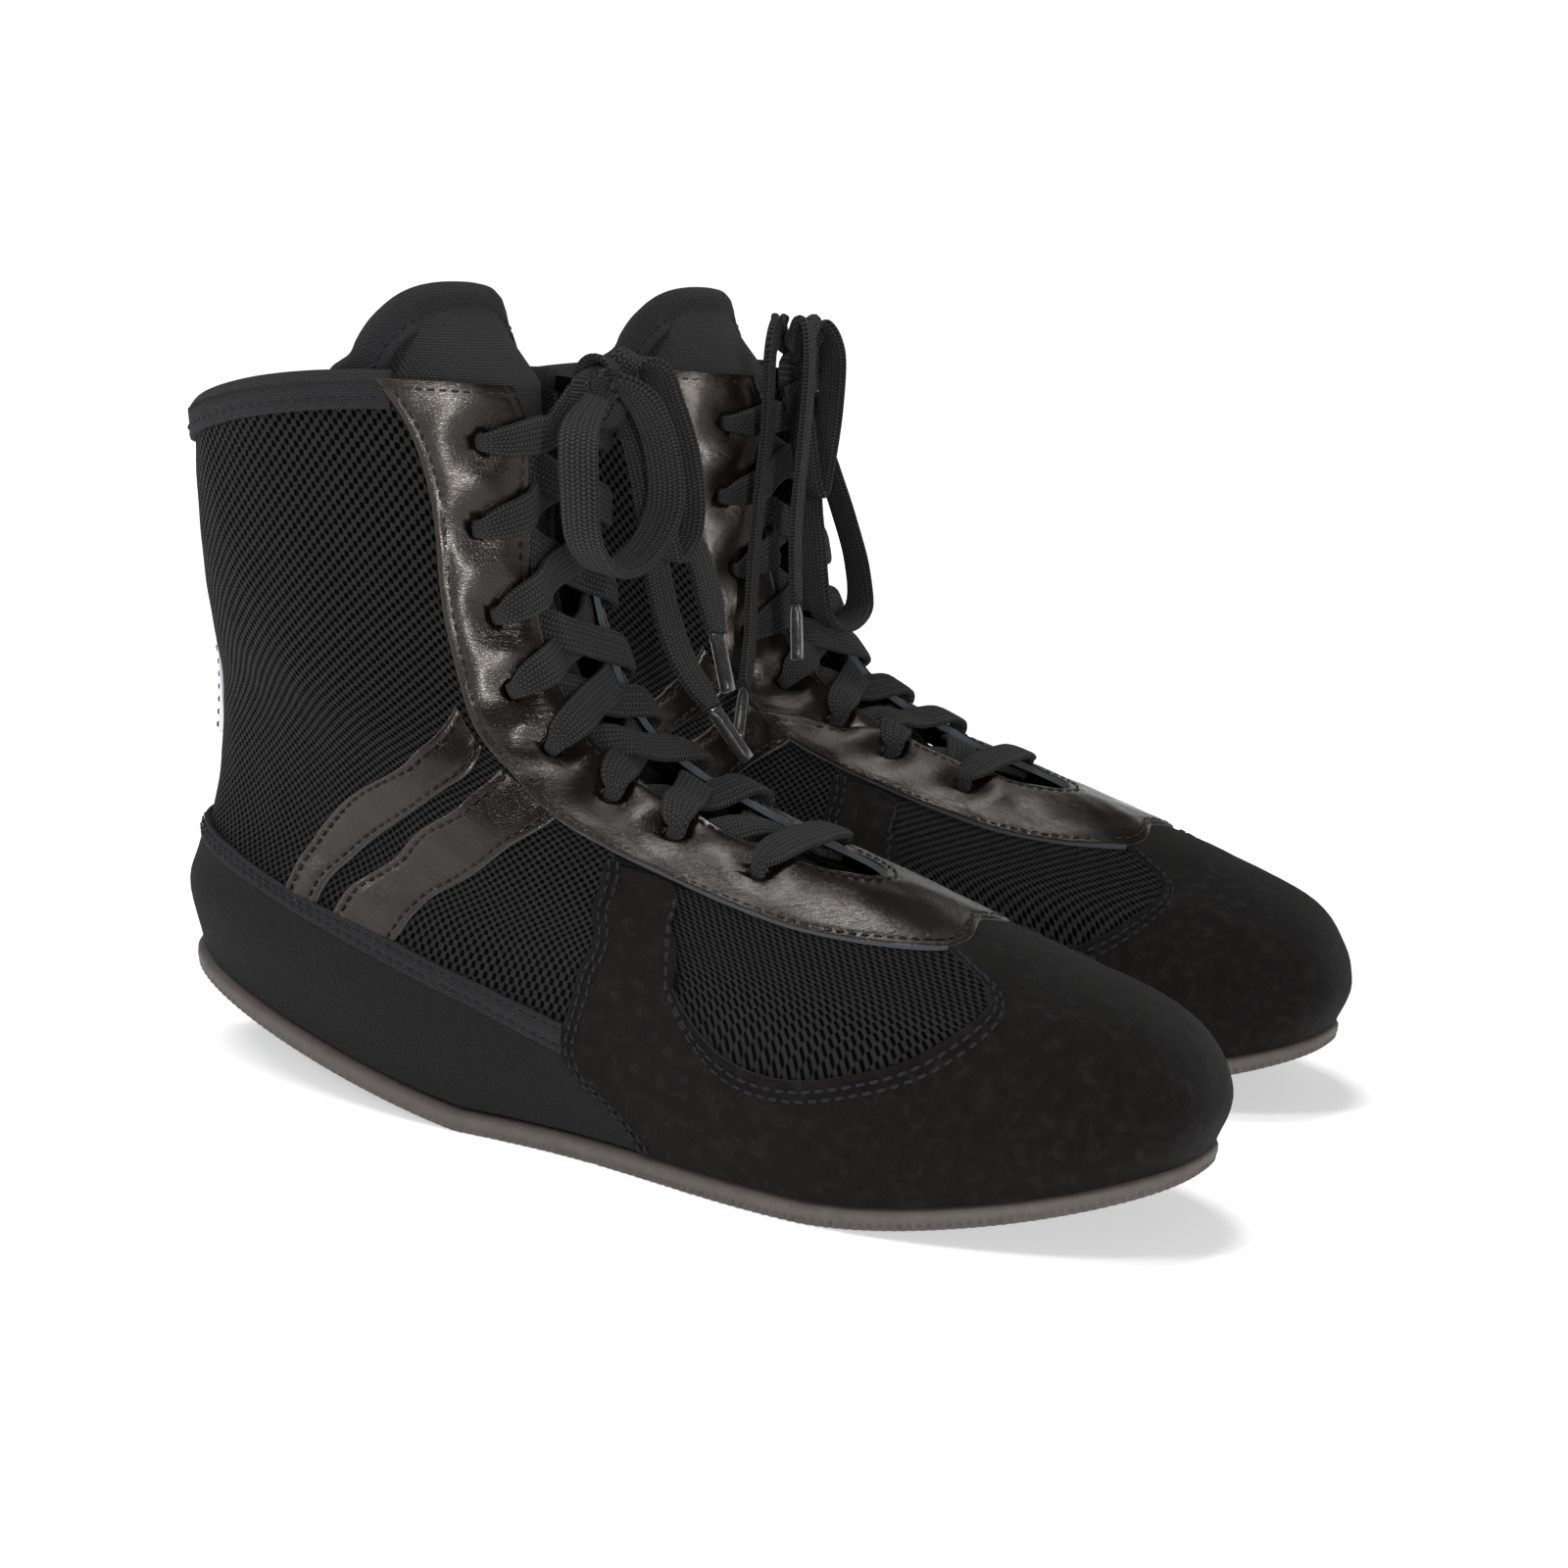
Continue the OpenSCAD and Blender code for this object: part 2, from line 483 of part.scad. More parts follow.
module knot(c) {
  at = [-1, -0.75, -0.3, 0.3, 0.75, 1];
  ribbon([for (x = at) c + [x * 8, 0, -abs(x)]], [for (x = at) 4 + 9 * sqrt(1.05 - x * x)],
    [for (x = at) 3 + 6 * sqrt(1.05 - x * x)], [for (x = at) [0, 0, 1]], 8);
}
// A lace tip that carries on from the last point of a tail
module aglet(route, W) {
  n = len(route) - 1;
  d = unit(route[n] - route[n - 1]);
  p = route[n];
  q = [for (s = [0.4, 3, 8, 12, 15]) p + s * d];
  ribbon(q, [lace_w * 0.8, aglet_d, aglet_d, aglet_d, aglet_d * 0.8],
    [lace_t + 0.8, aglet_d, aglet_d, aglet_d, aglet_d * 0.8], [for (x = q) W], 8);
}

// ---- nodes ----
rubber = [0.42, 0.36, 0.32];
black = [0.07, 0.07, 0.075];
leather = [0.12, 0.1, 0.09];
suede = [0.09, 0.09, 0.09];
navy = [0.1, 0.11, 0.14];
grey = [0.3, 0.3, 0.3];
silver = [0.75, 0.76, 0.78];

module right_outsole() { color(rubber) right_place() outsole(); }
module right_insole_board() { color(grey) right_place() insole_board(); }
module right_sock_liner() { color(black) right_place() sock_liner(); }
module right_heel_counter() { color(grey) right_place() heel_counter(); }
module right_toe_puff() { color(grey) right_place() toe_puff(); }
module right_vamp_lining() { color(black) right_place() vamp_lining(); }
module right_quarter_lining() { color(black) right_place() quarter_lining(); }
module right_quarter_lateral() { color(black) right_place() quarter(1); }
module right_quarter_medial() { color(black) right_place() quarter(-1); }
module right_vamp_mesh() { color(black) right_place() vamp(); }
module right_suede_toe() { color(suede) right_place() suede_toe(); }
module right_eyestay_lateral() { color(leather) right_place() eyestay_lateral(); }
module right_eyestay_medial() { color(leather) right_place() eyestay_medial(); }
module right_rear_bands() { color(leather) right_place() side_bands(REAR_BAND_A, REAR_BAND_B); }
module right_front_bands() { color(leather) right_place() side_bands(FRONT_BAND_A, FRONT_BAND_B); }
module right_side_canvas() { color(navy) right_place() side_canvas(); }
module right_band_tape() { color(navy) right_place() band_tape(); }
module right_collar_binding() { color(navy) right_place() collar_binding(); }
module right_heel_patch() { color(silver) right_place() heel_patch(); }
module right_tongue_base() { color(black) right_place() tongue_base(); }
module right_tongue() { color(black) right_place() tongue(); }
module right_tongue_pad() { color(black) right_place() tongue_pad(); }
module right_tongue_binding() { color(navy) right_place() tongue_binding(); }
module right_lacing() { color(black) right_place() lacing(R_KNOT); }
module right_bow_knot() { color(black) right_place() knot(R_KNOT); }
module right_bow_loops() {
  color(black) right_place() {
    cord(R_LOOP_A, WY);
    cord(R_LOOP_B, WY);
  }
}
module right_lace_tails() {
  color(black) right_place() {
    cord(R_TAIL_A, WX);
    cord(R_TAIL_B, WX);
  }
}
module right_aglets() {
  color(silver) right_place() {
    aglet(R_TAIL_A, WX);
    aglet(R_TAIL_B, WX);
  }
}
module left_outsole() { color(rubber) left_place() outsole(); }
module left_insole_board() { color(grey) left_place() insole_board(); }
module left_sock_liner() { color(black) left_place() sock_liner(); }
module left_heel_counter() { color(grey) left_place() heel_counter(); }
module left_toe_puff() { color(grey) left_place() toe_puff(); }
module left_vamp_lining() { color(black) left_place() vamp_lining(); }
module left_quarter_lining() { color(black) left_place() quarter_lining(); }
module left_quarter_lateral() { color(black) left_place() quarter(1); }
module left_quarter_medial() { color(black) left_place() quarter(-1); }
module left_vamp_mesh() { color(black) left_place() vamp(); }
module left_suede_toe() { color(suede) left_place() suede_toe(); }
module left_eyestay_lateral() { color(leather) left_place() eyestay_lateral(); }
module left_eyestay_medial() { color(leather) left_place() eyestay_medial(); }
module left_rear_bands() { color(leather) left_place() side_bands(REAR_BAND_A, REAR_BAND_B); }
module left_front_bands() { color(leather) left_place() side_bands(FRONT_BAND_A, FRONT_BAND_B); }
module left_side_canvas() { color(navy) left_place() side_canvas(); }
module left_band_tape() { color(navy) left_place() band_tape(); }
module left_collar_binding() { color(navy) left_place() collar_binding(); }
module left_heel_patch() { color(silver) left_place() heel_patch(); }
module left_tongue_base() { color(black) left_place() tongue_base(); }
module left_tongue() { color(black) left_place() tongue(); }
module left_tongue_pad() { color(black) left_place() tongue_pad(); }
module left_tongue_binding() { color(navy) left_place() tongue_binding(); }
module left_lacing() { color(black) left_place() lacing(L_KNOT); }
module left_bow_knot() { color(black) left_place() knot(L_KNOT); }
module left_bow_loops() {
  color(black) left_place() {
    cord(L_LOOP_A, WY);
    cord(L_LOOP_B, WY);
  }
}
module left_lace_tails() {
  color(black) left_place() {
    cord(L_TAIL_A, WX);
    cord(L_TAIL_B, WX);
  }
}
module left_aglets() {
  color(silver) left_place() {
    aglet(L_TAIL_A, WX);
    aglet(L_TAIL_B, WX);
  }
}

right_outsole();
right_insole_board();
right_sock_liner();
right_heel_counter();
right_toe_puff();
right_vamp_lining();
right_quarter_lining();
right_quarter_lateral();
right_quarter_medial();
right_vamp_mesh();
right_suede_toe();
right_eyestay_lateral();
right_eyestay_medial();
right_rear_bands();
right_front_bands();
right_side_canvas();
right_band_tape();
right_collar_binding();
right_heel_patch();
right_tongue_base();
right_tongue();
right_tongue_pad();
right_tongue_binding();
right_lacing();
right_bow_knot();
right_bow_loops();
right_lace_tails();
right_aglets();
left_outsole();
left_insole_board();
left_sock_liner();
left_heel_counter();
left_toe_puff();
left_vamp_lining();
left_quarter_lining();
left_quarter_lateral();
left_quarter_medial();
left_vamp_mesh();
left_suede_toe();
left_eyestay_lateral();
left_eyestay_medial();
left_rear_bands();
left_front_bands();
left_side_canvas();
left_band_tape();
left_collar_binding();
left_heel_patch();
left_tongue_base();
left_tongue();
left_tongue_pad();
left_tongue_binding();
left_lacing();
left_bow_knot();
left_bow_loops();
left_lace_tails();
left_aglets();
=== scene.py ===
"""Looks of the pair of boxing boots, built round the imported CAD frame.

Every shape is worked out in millimetres in the frame of the left boot, with the
toe towards -Y. place() puts it on the left boot, or mirrors it onto the right one.
"""
import json
import math

import bpy
import numpy as np
from mathutils import Matrix, Vector


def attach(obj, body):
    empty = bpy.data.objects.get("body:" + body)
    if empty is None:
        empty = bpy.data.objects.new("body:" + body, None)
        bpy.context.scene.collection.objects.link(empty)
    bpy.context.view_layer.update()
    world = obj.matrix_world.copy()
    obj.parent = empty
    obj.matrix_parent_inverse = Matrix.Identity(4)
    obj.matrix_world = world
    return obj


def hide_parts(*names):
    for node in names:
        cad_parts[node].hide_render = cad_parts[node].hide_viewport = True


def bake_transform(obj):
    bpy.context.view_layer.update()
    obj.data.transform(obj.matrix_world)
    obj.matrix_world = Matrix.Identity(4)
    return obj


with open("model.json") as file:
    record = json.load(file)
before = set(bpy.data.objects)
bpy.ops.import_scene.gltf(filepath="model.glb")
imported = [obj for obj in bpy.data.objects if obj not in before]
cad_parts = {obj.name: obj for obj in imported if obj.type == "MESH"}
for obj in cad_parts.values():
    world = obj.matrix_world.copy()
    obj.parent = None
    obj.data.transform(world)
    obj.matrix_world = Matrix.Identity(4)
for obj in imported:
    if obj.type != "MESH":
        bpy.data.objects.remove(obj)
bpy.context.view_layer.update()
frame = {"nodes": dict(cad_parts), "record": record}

MM = 0.001
SIDES = ("right", "left")

# ------------------------------------------------------------------ placing
SOLE_MARK_Y = -5.0  # the sole mounts stand this far ahead of each boot's origin


def boot_origin(side):
    mount = next(m for m in frame["record"]["mounts"] if m["name"] == side + "_sole")
    x, y, _ = mount["pos_m"]
    return abs(x) / MM, y / MM - SOLE_MARK_Y


ORIGIN = {side: boot_origin(side) for side in SIDES}


def place(side, points):
    """Points in the left boot's frame, in mm, to the row frame, in metres."""
    x0, y0 = ORIGIN[side]
    p = np.asarray(points, float) + (x0, y0, 0)
    if side == "right":
        p = p * (-1, 1, 1)
    return p * MM


# ------------------------------------------------------------------ the last
# Levels from the feather line to the collar: front y, front z, back y, back z,
# half-width at the ball, half-width at the heel, squareness
LEVELS = np.array([
    [-130, 23, 122, 15, 45, 35, 2.5],
    [-133, 33, 127, 33, 48, 37, 2.5],
    [-125, 45, 126, 48, 45, 36, 2.3],
    [-102, 54, 124, 62, 36, 34, 2.0],
    [-68, 64, 123, 77, 29, 33, 1.9],
    [-27, 73, 123, 93, 29, 33, 1.9],
    [9, 88, 125, 109, 31, 35, 2.0],
    [29, 118, 126, 131, 35, 38, 2.2],
    [35, 168, 127, 154, 39, 41, 2.2],
], float)
SOLE_T = 4.0
FEATHER = SOLE_T + 0.6
SOLE_FLAT = (-58, 32)  # the boot stands on the sole between these y
SOLE_RAMP = 85
TOE_RISE = 19
HEEL_RISE = 20
RISE_PER_V = 330  # how far the form carries on above the collar, in mm


def smooth(a, b, x):
    t = np.clip((np.asarray(x, float) - a) / (b - a), 0, 1)
    return t * t * (3 - 2 * t)


def through(table, x):
    """Catmull-Rom curve through the rows of table, with x from 0 to len(table) - 1."""
    t = np.asarray(table, float)
    ext = np.vstack([2 * t[0] - t[1], t, 2 * t[-1] - t[-2]])
    x = np.clip(np.asarray(x, float), 0, len(t) - 1)
    i = np.minimum(x.astype(int), len(t) - 2)
    f = (x - i)[..., None]
    a, b, c, d = ext[i], ext[i + 1], ext[i + 2], ext[i + 3]
    return 0.5 * (2 * b + (c - a) * f + (2 * a - 5 * b + 4 * c - d) * f * f
                  + (3 * b - a - 3 * c + d) * f ** 3)


def table(rows, x):
    rows = np.asarray(rows, float)
    return np.interp(x, rows[:, 0], rows[:, 1])


def sole_z(y):
    y = np.asarray(y, float)
    front = np.clip((SOLE_FLAT[0] - y) / SOLE_RAMP, 0, 1.2)
    back = np.clip((y - SOLE_FLAT[1]) / SOLE_RAMP, 0, 1.2)
    return TOE_RISE * front ** 1.6 + HEEL_RISE * back ** 1.15


def last(u, v):
    """The upper's form: u round the boot (0 toe, 0.25 outer side, 0.5 heel), v up."""
    u, v = np.broadcast_arrays(np.asarray(u, float), np.asarray(v, float))
    over = np.maximum(v - 1, 0)
    v = np.clip(v, 0, 1)
    level = through(LEVELS, v * (len(LEVELS) - 1))
    yf, zf, yb, zb, wb, wh, q = np.moveaxis(level, -1, 0)
    a = 2 * np.pi * u
    c, s = np.cos(a), np.sin(a)
    c = np.sign(c) * np.abs(c) ** (2 / q)
    s = np.sign(s) * np.abs(s) ** (2 / q)
    k = (1 - c) / 2
    low = 1 - smooth(0.1, 0.4, v)
    waist = np.where(s < 0, 8, 4) * low * np.exp(-((k - 0.52) / 0.17) ** 2)
    w = wb + (wh - wb) * smooth(0.2, 0.62, k) - waist
    y = yf + (yb - yf) * k
    rim = 5 * smooth(0.7, 1, v) * 4 * k * (1 - k)
    zh = zb + (zf - zb) * (1 - k) + rim
    zl = sole_z(y) + FEATHER + zh - (LEVELS[0][3] + (LEVELS[0][1] - LEVELS[0][3]) * (1 - k))
    z = zl + (zh - zl) * smooth(0, 0.3, v) + over * RISE_PER_V
    return np.stack([w * s - 6 * low * (1 - k) ** 2, y, z], -1)


def unit(a):
    return a / np.maximum(np.linalg.norm(a, axis=-1, keepdims=True), 1e-9)


def normal(u, v):
    d = 0.003
    v = np.clip(v, d, 1 - d)
    return unit(np.cross(last(u + d, v) - last(u - d, v), last(u, v + d) - last(u, v - d)))


def lift(u, v, t):
    return last(u, v) + np.asarray(t, float)[..., None] * normal(u, v)


def waves(p, size, seed):
    """Smooth, repeatable unevenness of about that size in mm, from -1 to 1."""
    r = np.random.default_rng(seed)
    total = 0
    for _ in range(5):
        direction = unit(r.normal(size=3))
        total = total + np.sin(p @ direction * 2 * np.pi / (size * r.uniform(0.7, 1.5))
                               + r.uniform(0, 6.28))
    return total / 3


# ------------------------------------------------------------------ meshes
def joined(shapes):
    """Several (points, faces) shapes as one, and where the points of each start."""
    starts = np.cumsum([0] + [len(points) for points, _ in shapes])
    faces = [[i + start for i in f] for (_, fs), start in zip(shapes, starts) for f in fs]
    return (np.vstack([points for points, _ in shapes]), faces), starts


def new_object(name, verts, faces, materials, uv=None, face_material=None, sharp=None):
    mesh = bpy.data.meshes.new(name)
    mesh.from_pydata(np.asarray(verts).tolist(), [], [list(map(int, f)) for f in faces])
    for m in materials:
        mesh.materials.append(m)
    mesh.polygons.foreach_set("use_smooth", [True] * len(mesh.polygons))
    if face_material is not None:
        mesh.polygons.foreach_set("material_index", np.asarray(face_material, int))
    if uv is not None:
        layer = mesh.uv_layers.new(name="cloth")
        index = np.zeros(len(mesh.loops), int)
        mesh.loops.foreach_get("vertex_index", index)
        layer.data.foreach_set("uv", np.asarray(uv, float)[index].astype(np.float32).ravel())
    if sharp is not None:
        flagged = np.zeros(len(mesh.vertices), int)
        for k, ring in enumerate(sharp, 1):
            flagged[list(ring)] = k
        ends = np.zeros(len(mesh.edges) * 2, int)
        mesh.edges.foreach_get("vertices", ends)
        a, b = flagged[ends.reshape(-1, 2)].T
        mesh.edges.foreach_set("use_edge_sharp", (a > 0) & (a == b))
    mesh.update()
    ob = bpy.data.objects.new(name, mesh)
    bpy.context.scene.collection.objects.link(ob)
    return ob


def both(name, shape, materials, replaces=(), sides=SIDES, body="boot", uv=None,
         face_material=None, sharp=None):
    """Makes the same shape on each boot, riding on that boot's body."""
    verts, faces = shape
    made = {}
    for side in sides:
        fs = [f[::-1] for f in faces] if side == "right" else faces
        ob = new_object(f"{side}_{name}_look", place(side, verts), fs, materials, uv,
                        face_material, sharp)
        if body:
            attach(ob, f"{side}_{body}")
        if replaces:
            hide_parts(*[f"{side}_{n}" for n in replaces])
        made[side] = ob
    return made


def grid_faces(rows, cols, start=0, flip=False, wrap=False):
    r, c = np.meshgrid(np.arange(rows - 1), np.arange(cols if wrap else cols - 1),
                       indexing="ij")
    a = start + r * cols + c
    b = start + r * cols + (c + 1) % cols
    quads = np.stack([a, b, b + cols, a + cols], -1).reshape(-1, 4)
    return quads[:, ::-1] if flip else quads


def rim_loop(rows, cols):
    top = [(0, c) for c in range(cols)]
    right = [(r, cols - 1) for r in range(1, rows)]
    bottom = [(rows - 1, c) for c in range(cols - 2, -1, -1)]
    left = [(r, 0) for r in range(rows - 2, 0, -1)]
    return [r * cols + c for r, c in top + right + bottom + left]


def spaced(length, pitch, edge=(0.5, 1.2, 1.9, 2.6, 3.4)):
    """Shares of a length, closer together near both ends."""
    edge = [e for e in edge if e < length * 0.45]
    last_edge = edge[-1] if edge else 0
    middle = np.linspace(last_edge, length - last_edge,
                         max(2, int(round((length - 2 * last_edge) / pitch)) + 1))
    ends = np.array([0, *edge[:-1]]) if edge else np.array([])
    return np.concatenate([ends, middle, length - ends[::-1]]) / length


def rim_walls(rows, cols, flip):
    """The rim of a grid, and the quads that join it to a second grid behind the first."""
    loop = rim_loop(rows, cols)
    near = np.array(loop)
    ahead = np.roll(near, -1)
    walls = np.stack([near, ahead, rows * cols + ahead, rows * cols + near], -1)
    return loop, walls[:, ::-1] if flip else walls


def tube_faces(rows, cols, flip=True):
    """Quads round a row of rings, with both ends closed."""
    faces = grid_faces(rows, cols, 0, flip, wrap=True).tolist()
    return faces + [list(range(cols)), [(rows - 1) * cols + i for i in range(cols)][::-1]]


def run_length(p, axis):
    step = np.linalg.norm(np.diff(p, axis=axis), axis=-1)
    pad = np.zeros_like(np.take(step, [0], axis=axis))
    return np.concatenate([pad, np.cumsum(step, axis=axis)], axis=axis)


def cloth_uv(p):
    """Millimetres along the rows and up the columns of a grid of points."""
    across = run_length(p, 1)
    up = run_length(p, 0)
    middle = p.shape[1] // 2
    return np.stack([across - across[:, middle:middle + 1], up], -1)


def section_uv(along, section):
    """Cloth coordinates of a tube, in mm: along it, then round its section."""
    steps = np.linalg.norm(np.diff(section, axis=0), axis=1)
    round_ = np.concatenate([[0], np.cumsum(steps)])
    uv = [np.repeat(along, len(section), 1), np.repeat(round_[None], len(along), 0)]
    return np.stack(uv, -1).reshape(-1, 2)


def edge_distance(p, open_sides=""):
    """Distance in mm to the nearest sewn edge of a grid: l, r, b or t can be left out."""
    across, up = run_length(p, 1), run_length(p, 0)
    found = np.full(across.shape, 99.0)
    for key, d in (("l", across), ("r", across[:, -1:] - across), ("b", up),
                   ("t", up[-1:] - up)):
        if key not in open_sides:
            found = np.minimum(found, d)
    return found


def sheet_shape(u, v, low, high, relief=None, roll=0.35, groove=0.0, open_sides="",
                groove_at=2.3):
    """A closed sheet between two offsets: rolled edges, a groove under its stitches."""
    p = last(u, v)
    d = edge_distance(p, open_sides)
    t = high - roll * np.exp(-d / 0.45) - groove * np.exp(-((d - groove_at) / 0.8) ** 2)
    if relief is not None:
        t = t + relief(p, v)
    rows, cols = u.shape
    n = rows * cols
    outer = lift(u, v, t).reshape(-1, 3)
    inner = lift(u, v, np.full(u.shape, low)).reshape(-1, 3)
    a, b = p[0, 1] - p[0, 0], p[1, 0] - p[0, 0]
    flip = np.dot(np.cross(a, b), normal(u[:1, :1], v[:1, :1])[0, 0]) < 0
    loop, walls = rim_walls(rows, cols, not flip)
    top = grid_faces(rows, cols, 0, flip)
    back = grid_faces(rows, cols, n, not flip)
    faces = np.vstack([top, back, walls])
    kind = np.concatenate([np.zeros(len(top) + len(back)), np.ones(len(walls))])
    uv = cloth_uv(p).reshape(-1, 2)
    sharp = (loop, [n + i for i in loop])
    return (np.vstack([outer, inner]), faces), np.vstack([uv, uv]), kind, sharp


def panel(name, u, v, layer, materials, slot, relief=None, uv=None, **edges):
    """A sewn sheet on each boot, between the two offsets of its layer."""
    shape, own_uv, kind, sharp = sheet_shape(u, v, *layer, relief, **edges)
    return both(name, shape, materials, [name], uv=own_uv if uv is None else uv,
                face_material=kind, sharp=sharp)


# ------------------------------------------------------------------ materials
class Look:
    """A Principled material and short ways to add nodes to it."""

    def __init__(self, name, **values):
        self.material = bpy.data.materials.new(name)
        self.material.use_nodes = True
        self.tree = self.material.node_tree
        self.shader = self.tree.nodes["Principled BSDF"]
        for key, value in values.items():
            self.shader.inputs[key.replace("_", " ")].default_value = value

    def add(self, kind, inputs=None, **props):
        n = self.tree.nodes.new("ShaderNode" + kind)
        for key, value in props.items():
            setattr(n, key, value)
        for key, value in (inputs or {}).items():
            self.feed(value, n.inputs[key])
        return n

    def feed(self, value, socket):
        if isinstance(value, bpy.types.NodeSocket):
            self.tree.links.new(value, socket)
        elif value is not None:
            socket.default_value = value

    def maths(self, operation, a, b=None):
        return self.add("Math", {0: a, 1: b}, operation=operation).outputs[0]

    def plus(self, a, b):
        return self.maths("ADD", a, b)

    def times(self, a, b):
        return self.maths("MULTIPLY", a, b)

    def sine(self, value, rate):
        return self.maths("SINE", self.times(value, rate))

    def cosine(self, value, rate):
        return self.maths("COSINE", self.times(value, rate))

    def cloth(self, scale=(1, 1, 1), turn=0.0):
        uv = self.add("UVMap", uv_map="cloth").outputs[0]
        return self.add("Mapping", {0: uv, 2: (0, 0, turn), 3: scale}).outputs[0]

    def solid(self, scale=1000.0):
        """Object coordinates, in millimetres at the usual scale."""
        co = self.add("TexCoord").outputs["Object"]
        return self.add("Mapping", {0: co, 3: (scale, scale, scale)}).outputs[0]

    def split(self, vector):
        return self.add("SeparateXYZ", {0: vector}).outputs

    def noise(self, vector, scale, detail=3.0, rough=0.55):
        n = self.add("TexNoise", {"Vector": vector, "Scale": scale, "Detail": detail,
                                  "Roughness": rough})
        return n.outputs["Fac"]

    def cells(self, vector, scale, feature="DISTANCE_TO_EDGE"):
        n = self.add("TexVoronoi", {"Vector": vector, "Scale": scale}, feature=feature)
        return n.outputs[0]

    def step(self, value, low, high, out_low=0.0, out_high=1.0):
        n = self.add("MapRange", {0: value, 1: low, 2: high, 3: out_low, 4: out_high},
                     interpolation_type="SMOOTHSTEP")
        return n.outputs[0]

    def mix(self, fac, a, b):
        n = self.add("Mix", data_type="RGBA")
        self.feed(fac, n.inputs[0])
        for socket, value in ((n.inputs[6], a), (n.inputs[7], b)):
            self.feed((*value, 1) if isinstance(value, tuple) else value, socket)
        return n.outputs[2]

    def bump(self, height, depth, strength=1.0, after=None):
        n = self.add("Bump", {"Height": height, "Distance": depth * MM,
                              "Strength": strength, "Normal": after})
        return n.outputs[0]

    def done(self, colour=None, rough=None, normal_=None):
        for key, value in (("Base Color", colour), ("Roughness", rough), ("Normal", normal_)):
            if value is not None:
                self.feed(value, self.shader.inputs[key])
        return self.material


def knit(name, width, height, turn):
    """A knit with lozenge holes of this width and height, in staggered rows."""
    look = Look(name, Roughness=0.7, Sheen_Weight=0.02)
    co = look.cloth(turn=turn)
    x, y, _ = look.split(co)
    x = look.plus(x, look.times(look.noise(co, 0.55, 2.0), 0.25 * width))
    lattice = look.times(look.cosine(x, 2 * math.pi / width), look.cosine(y, math.pi / height))
    thread = look.noise(look.cloth((1.0, 3.2, 1), turn), 2.6, 4.0, 0.7)
    lattice = look.plus(lattice, look.times(thread, 0.5))
    hole = look.step(lattice, 0.05, 0.6)
    tone = look.mix(thread, (0.0015, 0.0015, 0.0015), (0.022, 0.022, 0.0225))
    # The holes are painted near black: the dark lining seen through them, with painted shade
    # inside the boot.
    colour = look.mix(hole, tone, (0.0003, 0.0003, 0.0003))
    look.feed(look.step(hole, 0, 1, 0.14, 0.0), look.shader.inputs["Specular IOR Level"])
    relief = look.maths("SUBTRACT", look.times(thread, 0.45), hole)
    return look.done(colour, None, look.bump(relief, 0.8))


def leather(name):
    look = Look(name, Specular_IOR_Level=0.4, Specular_Tint=(1, 0.92, 0.85, 1))
    co = look.cloth()
    large = look.noise(co, 0.05, 3.0)
    grain = look.cells(look.cloth((1.0, 1.25, 1)), 1.25)
    pores = look.noise(co, 3.4, 3.0, 0.6)
    creases = look.noise(look.cloth((0.25, 1.3, 1), 0.5), 0.55, 4.0, 0.6)
    worn = look.step(look.noise(co, 0.16, 4.0), 0.5, 0.78)
    colour = look.mix(large, (0.002, 0.0015, 0.0013), (0.006, 0.0046, 0.0038))
    colour = look.mix(look.times(worn, 0.3), colour, (0.02, 0.016, 0.0135))
    rough = look.plus(look.times(pores, 0.16), look.times(large, 0.16))
    rough = look.plus(rough, 0.08)
    fine = look.plus(look.step(grain, 0.0, 0.16), look.times(pores, 0.5))
    n = look.bump(creases, 0.35, 0.35)
    return look.done(colour, rough, look.bump(fine, 0.03, 0.6, n))


def raw_edge(name, tone):
    look = Look(name, Roughness=0.9, Sheen_Weight=0.05, Specular_IOR_Level=0.15)
    co = look.solid()
    fibre = look.noise(co, 1.6, 5.0, 0.7)
    dark = tuple(c * 0.45 for c in tone)
    return look.done(look.mix(fibre, dark, tone), None, look.bump(fibre, 0.35))


def suede(name):
    look = Look(name, Roughness=0.95, Sheen_Weight=0.03, Sheen_Roughness=0.45,
                Specular_IOR_Level=0.08)
    co = look.solid()
    nap = look.noise(co, 1.9, 6.0, 0.75)
    cloud = look.noise(co, 0.07, 3.0)
    brushed = look.step(look.noise(co, 0.28, 4.0, 0.65), 0.45, 0.75)
    specks = look.step(look.noise(co, 2.3, 2.0, 0.5), 0.755, 0.8)
    colour = look.mix(nap, (0.0012, 0.0011, 0.001), (0.009, 0.0081, 0.0076))
    colour = look.mix(look.times(look.times(cloud, brushed), 0.6),
                      colour, (0.022, 0.0203, 0.0195))
    colour = look.mix(look.times(specks, 0.5), colour, (0.07, 0.066, 0.062))
    soft = look.bump(brushed, 0.25, 0.5)
    return look.done(colour, None, look.bump(nap, 0.3, 0.8, soft))


def weave(name, pitch, dark, light, cloth=True):
    """Plain weave: threads pass over and under each other."""
    look = Look(name, Roughness=0.85, Sheen_Weight=0.03, Specular_IOR_Level=0.12)
    co = look.cloth() if cloth else look.solid()
    x, y, z = look.split(co)
    y = y if cloth else z
    shake = look.times(look.noise(co, 0.8, 2.0), 0.5)
    over = look.times(look.sine(look.plus(x, shake), math.pi / pitch),
                      look.sine(look.plus(y, shake), math.pi / pitch))
    fibre = look.noise(co, 2.8, 4.0, 0.7)
    height = look.plus(look.maths("ABSOLUTE", over), look.times(fibre, 0.8))
    tone = look.step(height, 0.3, 1.3)
    lint = look.step(look.noise(co, 1.1, 2.0, 0.5), 0.72, 0.8)
    colour = look.mix(tone, dark, light)
    colour = look.mix(look.times(lint, 0.3), colour, (0.05, 0.05, 0.052))
    return look.done(colour, None, look.bump(height, 0.22))


